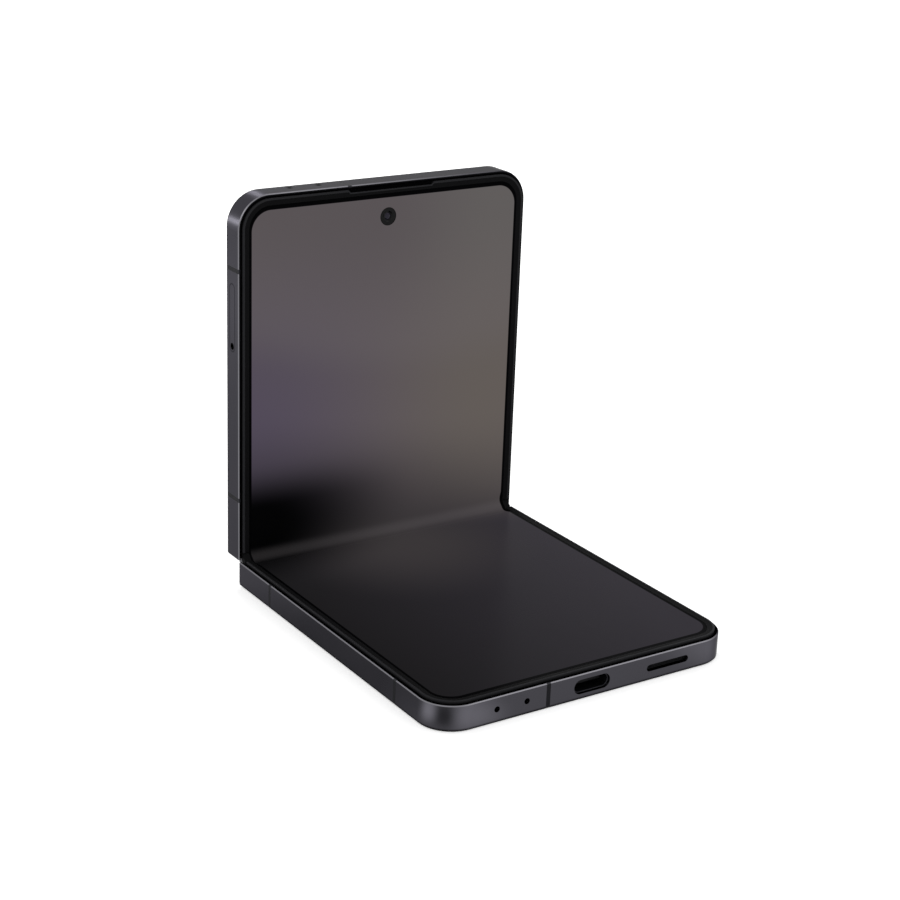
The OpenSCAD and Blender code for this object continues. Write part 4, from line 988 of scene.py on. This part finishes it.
ear_deep = BEZEL_OUT + EAR_DEPTH
ear_inner_side = ear_corners(BEZEL_OUT, ear_deep, 0.0)
ear_outer_side = ear_corners(BEZEL_OUT, ear_deep + EAR_LIP, math.sqrt(2) * EAR_LIP)
for body, to_row, _ in HALVES:
    bezel = swept_rim(f"bezel_{body}", to_row, BEZEL, BEZEL_SOFTNESS, bezel_section)
    if body == "upper":
        cut_with(bezel, prism("recess", ear_corners(0.0, ear_deep, 0.0), RIM + BEZEL_LOW - MM, RIM + 2 * MM,
                              to_row, BEZEL))
        ear_floor = prism("earpiece_floor", ear_inner_side, RIM - GASKET_INNER, RIM + EAR_FLOOR, to_row,
                          GASKET)
        ear_rim = prism("earpiece_rim", ear_inner_side + ear_outer_side[::-1],
                        RIM + FLAT_HIGH - EAR_LIP_SUNK, RIM + BEZEL_HIGH - JUST_UNDER, to_row, BEZEL)
        mark_ridge(ear_rim, to_row)
        finish_piece(ear_floor, body, "black_plastic")
        finish_piece(ear_rim, body, "bezel_black")
    mark_ridge(bezel, to_row)
    finish_piece(bezel, body, "bezel_black", f"{body}_bezel")
    finish_piece(swept_rim(f"gasket_{body}", to_row, GASKET, GASKET_SOFTNESS, gasket_section),
                 body, "black_plastic")


# -------- port, holes, speaker, coil and cable

PORT_LIP = 0.08 * MM
TONGUE_SIDE = 1 * MM
TONGUE_BACK = 1.5 * MM
TONGUE_T = 0.7 * MM
# Distance from the tongue's front, and inset there
TONGUE_NOSE = ((0.2 * MM, 0.0), (0.05 * MM, 0.08 * MM), (0.0, 0.25 * MM))
CONTACT_MIDDLE = 2.1 * MM
PLUG_GAP = 0.02 * MM
CLOTH_BACK = 1 * MM
COIL_LIFT = 0.15 * MM
COIL_MARGIN = 0.35 * MM

port_front = HALF_LENGTH - USB_RECESS
port_back = port_front - USB_LENGTH
port = skin("port_shell", [
    stadium_ring(TO_LOWER, 0.0, y, USB_Z, USB_WIDTH + 2 * wider, USB_HEIGHT + 2 * wider) for y, wider in (
        (port_back, 0.0), (port_front - PORT_LIP, 0.0), (port_front, -PORT_LIP),
        (port_front, -USB_WALL + PORT_LIP), (port_front - PORT_LIP, -USB_WALL),
        (port_back + USB_WALL, -USB_WALL))], PORT_METAL_IN_SHADE)
finish_piece(port, "lower", "steel", "usb_port")
tongue_width = USB_WIDTH - 2 * TONGUE_SIDE
tongue_front = port_front - TONGUE_BACK
tongue_rings = [(port_back + USB_WALL, 0.0)] + [(tongue_front - back, inset) for back, inset in TONGUE_NOSE]
tongue = skin("port_tongue", [
    stadium_ring(TO_LOWER, 0.0, y, USB_Z, tongue_width - inset, TONGUE_T - inset)
    for y, inset in tongue_rings], BLACK_PLASTIC)
finish_piece(tongue, "lower", "black_plastic")
contacts_at = TO_LOWER @ Matrix.Translation((0, tongue_front - CONTACT_MIDDLE, USB_Z))
contacts = grow("port_contacts", CONTACT_ROWS, contacts_at, GOLD, Count=12, Pitch=0.5 * MM,
                Length=3.2 * MM, Rise=0.05 * MM, Half_Thickness=TONGUE_T / 2)
finish_piece(contacts, "lower", "copper")

# The plugs are hollowed at their outer end: depth in the hole, and share of the full width
PLUG_STEPS = ((1.2 * MM, 1.0), (0.05 * MM, 1.0), (0.12 * MM, 0.7), (0.3 * MM, 0.5))
plug_width = 2 * (TOP_HOLE_R - PLUG_GAP)
for k, x in enumerate(TOP_HOLES_X):
    plug_rings = [stadium_ring(TO_UPPER, x, HALF_LENGTH - deep, TOP_HOLE_Z, share * plug_width,
                               share * plug_width) for deep, share in PLUG_STEPS]
    finish_piece(skin(f"top_hole_mesh_{k + 1}", plug_rings, GASKET), "upper", "black_plastic")

cloth_at = TO_LOWER @ Matrix.Translation((-SPEAKER_X, HALF_LENGTH - CLOTH_BACK, USB_Z))
cloth = grow("speaker_cloth", WIRE_CLOTH, cloth_at, BLACK_PLASTIC, Length=SPEAKER_LENGTH,
             Height=SPEAKER_HEIGHT, Pitch=0.17 * MM, Wire_Radius=0.045 * MM)
finish_piece(cloth, "lower", "black_plastic", "speaker_mesh")

coil_at = TO_LOWER @ Matrix.Translation((0, COIL_Y, BACK_INNER + COIL_LIFT))
winding = grow("coil_winding", FLAT_WINDING, coil_at, COPPER, Turns=12.0,
               Inner_Radius=COIL_R - COIL_WIDTH, Outer_Radius=COIL_R - COIL_MARGIN,
               Strand_Width=0.62 * MM, Strand_Height=0.26 * MM)
finish_piece(winding, "lower", "copper", "charging_coil")

# The cable's points repeat the source's: away from the fold and below the rim, then in the spine
CABLE_IN_HALF = [(12.3, 0.8), (8.6, 0.9), (7.8, 1.6), (5.6, 1.8)]
CABLE_IN_SPINE = [(-3.6, -0.9), (-1.6, -2.4), (0.0, -2.4)]
helpers = [bezel_section, gasket_section]
for body, to_row, side in HALVES:
    route = [tuple(to_row @ Vector((0, u * MM, RIM - deep * MM))) for u, deep in CABLE_IN_HALF]
    route += [row_point(-side * s * MM, n * MM) for s, n in CABLE_IN_SPINE]
    helpers.append(outline(f"cable route {body}", route, closed=False))
    cable = grow(f"fold_cable_{body}", RIBBON_CABLE, Matrix.Identity(4), CABLE, Width=12 * MM,
                 Thickness=0.15 * MM, Section=helpers[-1])
    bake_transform(cable)
    if body == "lower":
        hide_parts("hinge_flex")
for done in helpers:
    bpy.data.objects.remove(done)


# -------- cameras and flash

HOUSING = 2.9 * MM
HOUSING_SOFT = 0.25 * MM
EYE_R = 0.78 * MM
EYE_DEPTH = 0.5 * MM
REAR_EYE_R = 2.28 * MM
# Steps of the masks round the lenses, in millimetres: radius, and depth below the face
EYE_STEPS = ((1.25, 0.06), (1.15, 0.14), (0.95, 0.30), (0.8, 0.34))
REAR_STEPS = ((3.4, 0.0), (3.2, 0.15), (2.6, 0.3), (2.4, 0.3), (2.3, 0.5))
BEVEL = 0.06 * MM
RING_STEP = 0.18 * MM
FLANGE = 0.8 * MM
FLANGE_T = 0.3 * MM
MASK_GAP = 0.03 * MM
MASK_CHAMFER = 0.05 * MM
MASK_SUNK = 0.2 * MM
FLASH_DEPTH = 1.7 * MM
RIPPLES = 7
RIPPLE = 0.1 * MM
RIPPLE_DEPTH = 0.07 * MM

top = RIM + SCREEN_TOP
mask_r = FRONT_CAMERA_R - MASK_GAP
eye_floor = top - EYE_DEPTH
front_profile = [(1.9 * MM, INNER_TOP), (mask_r, INNER_TOP), (mask_r, top - 2 * BEVEL),
                 (mask_r - BEVEL, top - BEVEL)]
front_profile += [(r * MM, top - deep * MM) for r, deep in EYE_STEPS]
front_mask = lathe("front_camera_mask", eye, front_profile + [(EYE_R, eye_floor), (BARE_AXIS, eye_floor)],
                   CAMERA_MASK)
finish_piece(front_mask, "upper", "black_plastic", "front_camera")
eye_lens_r = EYE_R - 0.01 * MM
eye_profile = [(eye_lens_r, top - 0.49 * MM)] + dome(eye_lens_r, top - 0.42 * MM, 0.22 * MM)
finish_piece(lathe("front_camera_lens", eye, eye_profile, LENS), "upper", "lens_glass")
cube = [TO_UPPER @ Vector((x * HOUSING, FRONT_CAMERA_Y + y * HOUSING, z))
        for z in (BOARD_Z, INNER_TOP - JUST_UNDER) for y in (-1, 1) for x in (-1, 1)]
cube_faces = [(0, 2, 3, 1), (4, 5, 7, 6), (0, 1, 5, 4), (2, 6, 7, 3), (0, 4, 6, 2), (1, 3, 7, 5)]
housing = new_piece("front_camera_housing", cube, cube_faces, BLACK_PLASTIC)
clean(housing.data, HOUSING_SOFT)
shade(housing.data, 50)
finish_piece(housing, "upper", "black_plastic")

ring_inner = RING_R - RING_WALL
ring_base = GLASS + 0.6 * MM
flange_low = GLASS + 0.05 * MM
ring_profile = [
    (ring_inner, ring_base), (ring_inner, -RING_PROUD + RING_STEP), (ring_inner + RING_STEP, -RING_PROUD),
    (RING_R - 2 * RING_STEP, -RING_PROUD), (RING_R - 0.6 * RING_STEP, -RING_PROUD + 0.4 * RING_STEP),
    (RING_R, -RING_PROUD + 2 * RING_STEP), (RING_R, flange_low), (RING_R + FLANGE, flange_low),
    (RING_R + FLANGE, flange_low + FLANGE_T), (RING_R, flange_low + FLANGE_T), (RING_R, ring_base)]
lens_r = ring_inner - MASK_GAP
face = -RING_PROUD + MASK_SUNK
mask_profile = [(lens_r, face + GLASS), (lens_r, face + MASK_CHAMFER), (lens_r - MASK_CHAMFER, face)]
mask_profile += [(r * MM, face + deep * MM) for r, deep in REAR_STEPS]
mask_profile += [(BARE_AXIS, mask_profile[-1][1]), (BARE_AXIS, face + GLASS)]
lens_rim = face + 0.48 * MM
lens_profile = [(REAR_EYE_R, lens_rim + 0.01 * MM)] + dome(REAR_EYE_R, lens_rim, -0.36 * MM)
for k in range(2):
    centre = (REAR_CAMERA_X, REAR_CAMERA_Y - k * REAR_CAMERA_PITCH)
    ring = lathe(f"camera_ring_{k + 1}", centre, ring_profile, RING_METAL, steps=96)
    finish_piece(ring, "upper", "bright_metal")
    finish_piece(lathe(f"camera_mask_{k + 1}", centre, mask_profile, CAMERA_MASK), "upper", "black_plastic")
    finish_piece(lathe(f"camera_lens_{k + 1}", centre, lens_profile, LENS), "upper", "lens_glass")
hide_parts("camera_rings")
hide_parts("camera_lenses")

ripples = [(FLASH_R, FLASH_DEPTH), (FLASH_R, BEVEL), (FLASH_R - BEVEL, 0.0)]
for k in range(RIPPLES):
    crest = FLASH_R - 2 * (k + 1) * RIPPLE
    ripples += [(crest, 0.0), (crest - RIPPLE, RIPPLE_DEPTH)]
flash = lathe("flash_window", (REAR_CAMERA_X, FLASH_Y), ripples + [(BARE_AXIS, 0.0)], FLASH, steps=48)
finish_piece(flash, "upper", "flash_lens", "flash")


# -------- floor, light and camera

WHITE = (1.0, 1.0, 1.0, 1.0)
WORLD_PLAIN = 0.8
FLOOR_SEEN = 0.45
FLOOR_GREY = 0.85
FLOOR_GREY_MIRRORED = 0.2
FLOOR_MIRRORED = 0.92
FLOOR_HALF = 3
FLOOR_DROP = 0.05 * MM
# Points of the phone that the lamps aim at
MIDDLE = (0, 0, 0.03)
TOP_LEFT = (-0.03, 0.04, 0.08)
# The photo's camera, as solved: place, turn in degrees and focal length in millimetres
CAMERA_AT = (-0.22635, -0.32631, 0.18324)
CAMERA_TURN = (70.09, -1.989, -32.954)
CAMERA_LENS = 79.497
# Painted pools of light and shade in the floor, which only reflections see, so that the metal shows painted
# highlights and painted shade: centre, radius of the full strength, radius where it ends, and strength
PAINTED_POOLS = [
    ((-0.0455, -0.0355, 0.0), 0.001, 0.008, 2.2), ((-0.0405, -0.0455, 0.0), 0.001, 0.009, -1.0),
    ((-0.027, -0.0495, 0.0), 0.002, 0.012, 1.3), ((0.04, -0.048, 0.0), 0.002, 0.018, 0.8),
    ((-0.045, 0.0, 0.0), 0.012, 0.05, -0.55), ((-0.165, 0.24, 0.0), 0.005, 0.06, 1.8)]

# The camera, gloss and glass see the background white; other rays get a plain surround
world = bpy.data.worlds.new("studio")
bpy.context.scene.world = world
world.use_nodes = True
sky = world.node_tree.nodes["Background"].inputs
nodes = Nodes(world.node_tree)
path = nodes.add("ShaderNodeLightPath").outputs
through = nodes.math("MAXIMUM", path["Is Glossy Ray"], path["Is Transmission Ray"])
seen = nodes.math("MAXIMUM", path["Is Camera Ray"], through)
nodes.feed(sky["Color"], WHITE)
nodes.feed(sky["Strength"], nodes.between(seen, WORLD_PLAIN, 1.0))

paint = Finish("pale floor", Roughness=0.9, Specular_IOR_Level=0.0, Emission_Color=WHITE)
path = paint.add("ShaderNodeLightPath").outputs
# Painted reflection: reflected rays see the floor at this level, with the painted pools added
mirrored = FLOOR_MIRRORED
for pool in PAINTED_POOLS:
    mirrored = paint.plus(mirrored, paint.spot(paint.here, *pool))
for_metal = paint.times(path["Is Glossy Ray"], paint.math("MAXIMUM", mirrored, 0.0))
for_camera = paint.times(path["Is Camera Ray"], FLOOR_SEEN)
paint.set(Base_Color=paint.between(path["Is Glossy Ray"], FLOOR_GREY, FLOOR_GREY_MIRRORED))
paint.set(Emission_Strength=paint.plus(for_camera, for_metal))
corners = [(x * FLOOR_HALF, y * FLOOR_HALF, 0) for x, y in ((-1, -1), (1, -1), (1, 1), (-1, 1))]
floor = new_piece("floor", corners, [(0, 1, 2, 3)], paint.material)
floor.location.z = -FLOOR_DROP


def soft_lamp(name, place, aim, size, power):
    light = bpy.data.lights.new(name, "AREA")
    light.shape = "SQUARE"
    light.size = size
    light.energy = power
    lamp = link(name, light)
    lamp.location = place
    lamp.rotation_euler = (Vector(aim) - Vector(place)).to_track_quat("-Z", "Y").to_euler()


soft_lamp("key", (0.46, -0.31, 0.71), MIDDLE, 0.5, 0.6)
soft_lamp("left", (-0.6, -0.5, 0.5), MIDDLE, 0.5, 0.8)
soft_lamp("behind left", (-0.61, 0.79, 0.12), TOP_LEFT, 0.1, 1.7)
soft_lamp("behind above", (0.2, 0.79, 0.66), TOP_LEFT, 0.12, 2.9)

camera = link("camera", bpy.data.cameras.new("camera"))
camera.data.sensor_width = 36
camera.data.lens = CAMERA_LENS
camera.data.clip_start = 0.01
camera.location = CAMERA_AT
camera.rotation_euler = tuple(math.radians(a) for a in CAMERA_TURN)
bpy.context.scene.camera = camera
bpy.context.scene.view_settings.view_transform = "Standard"
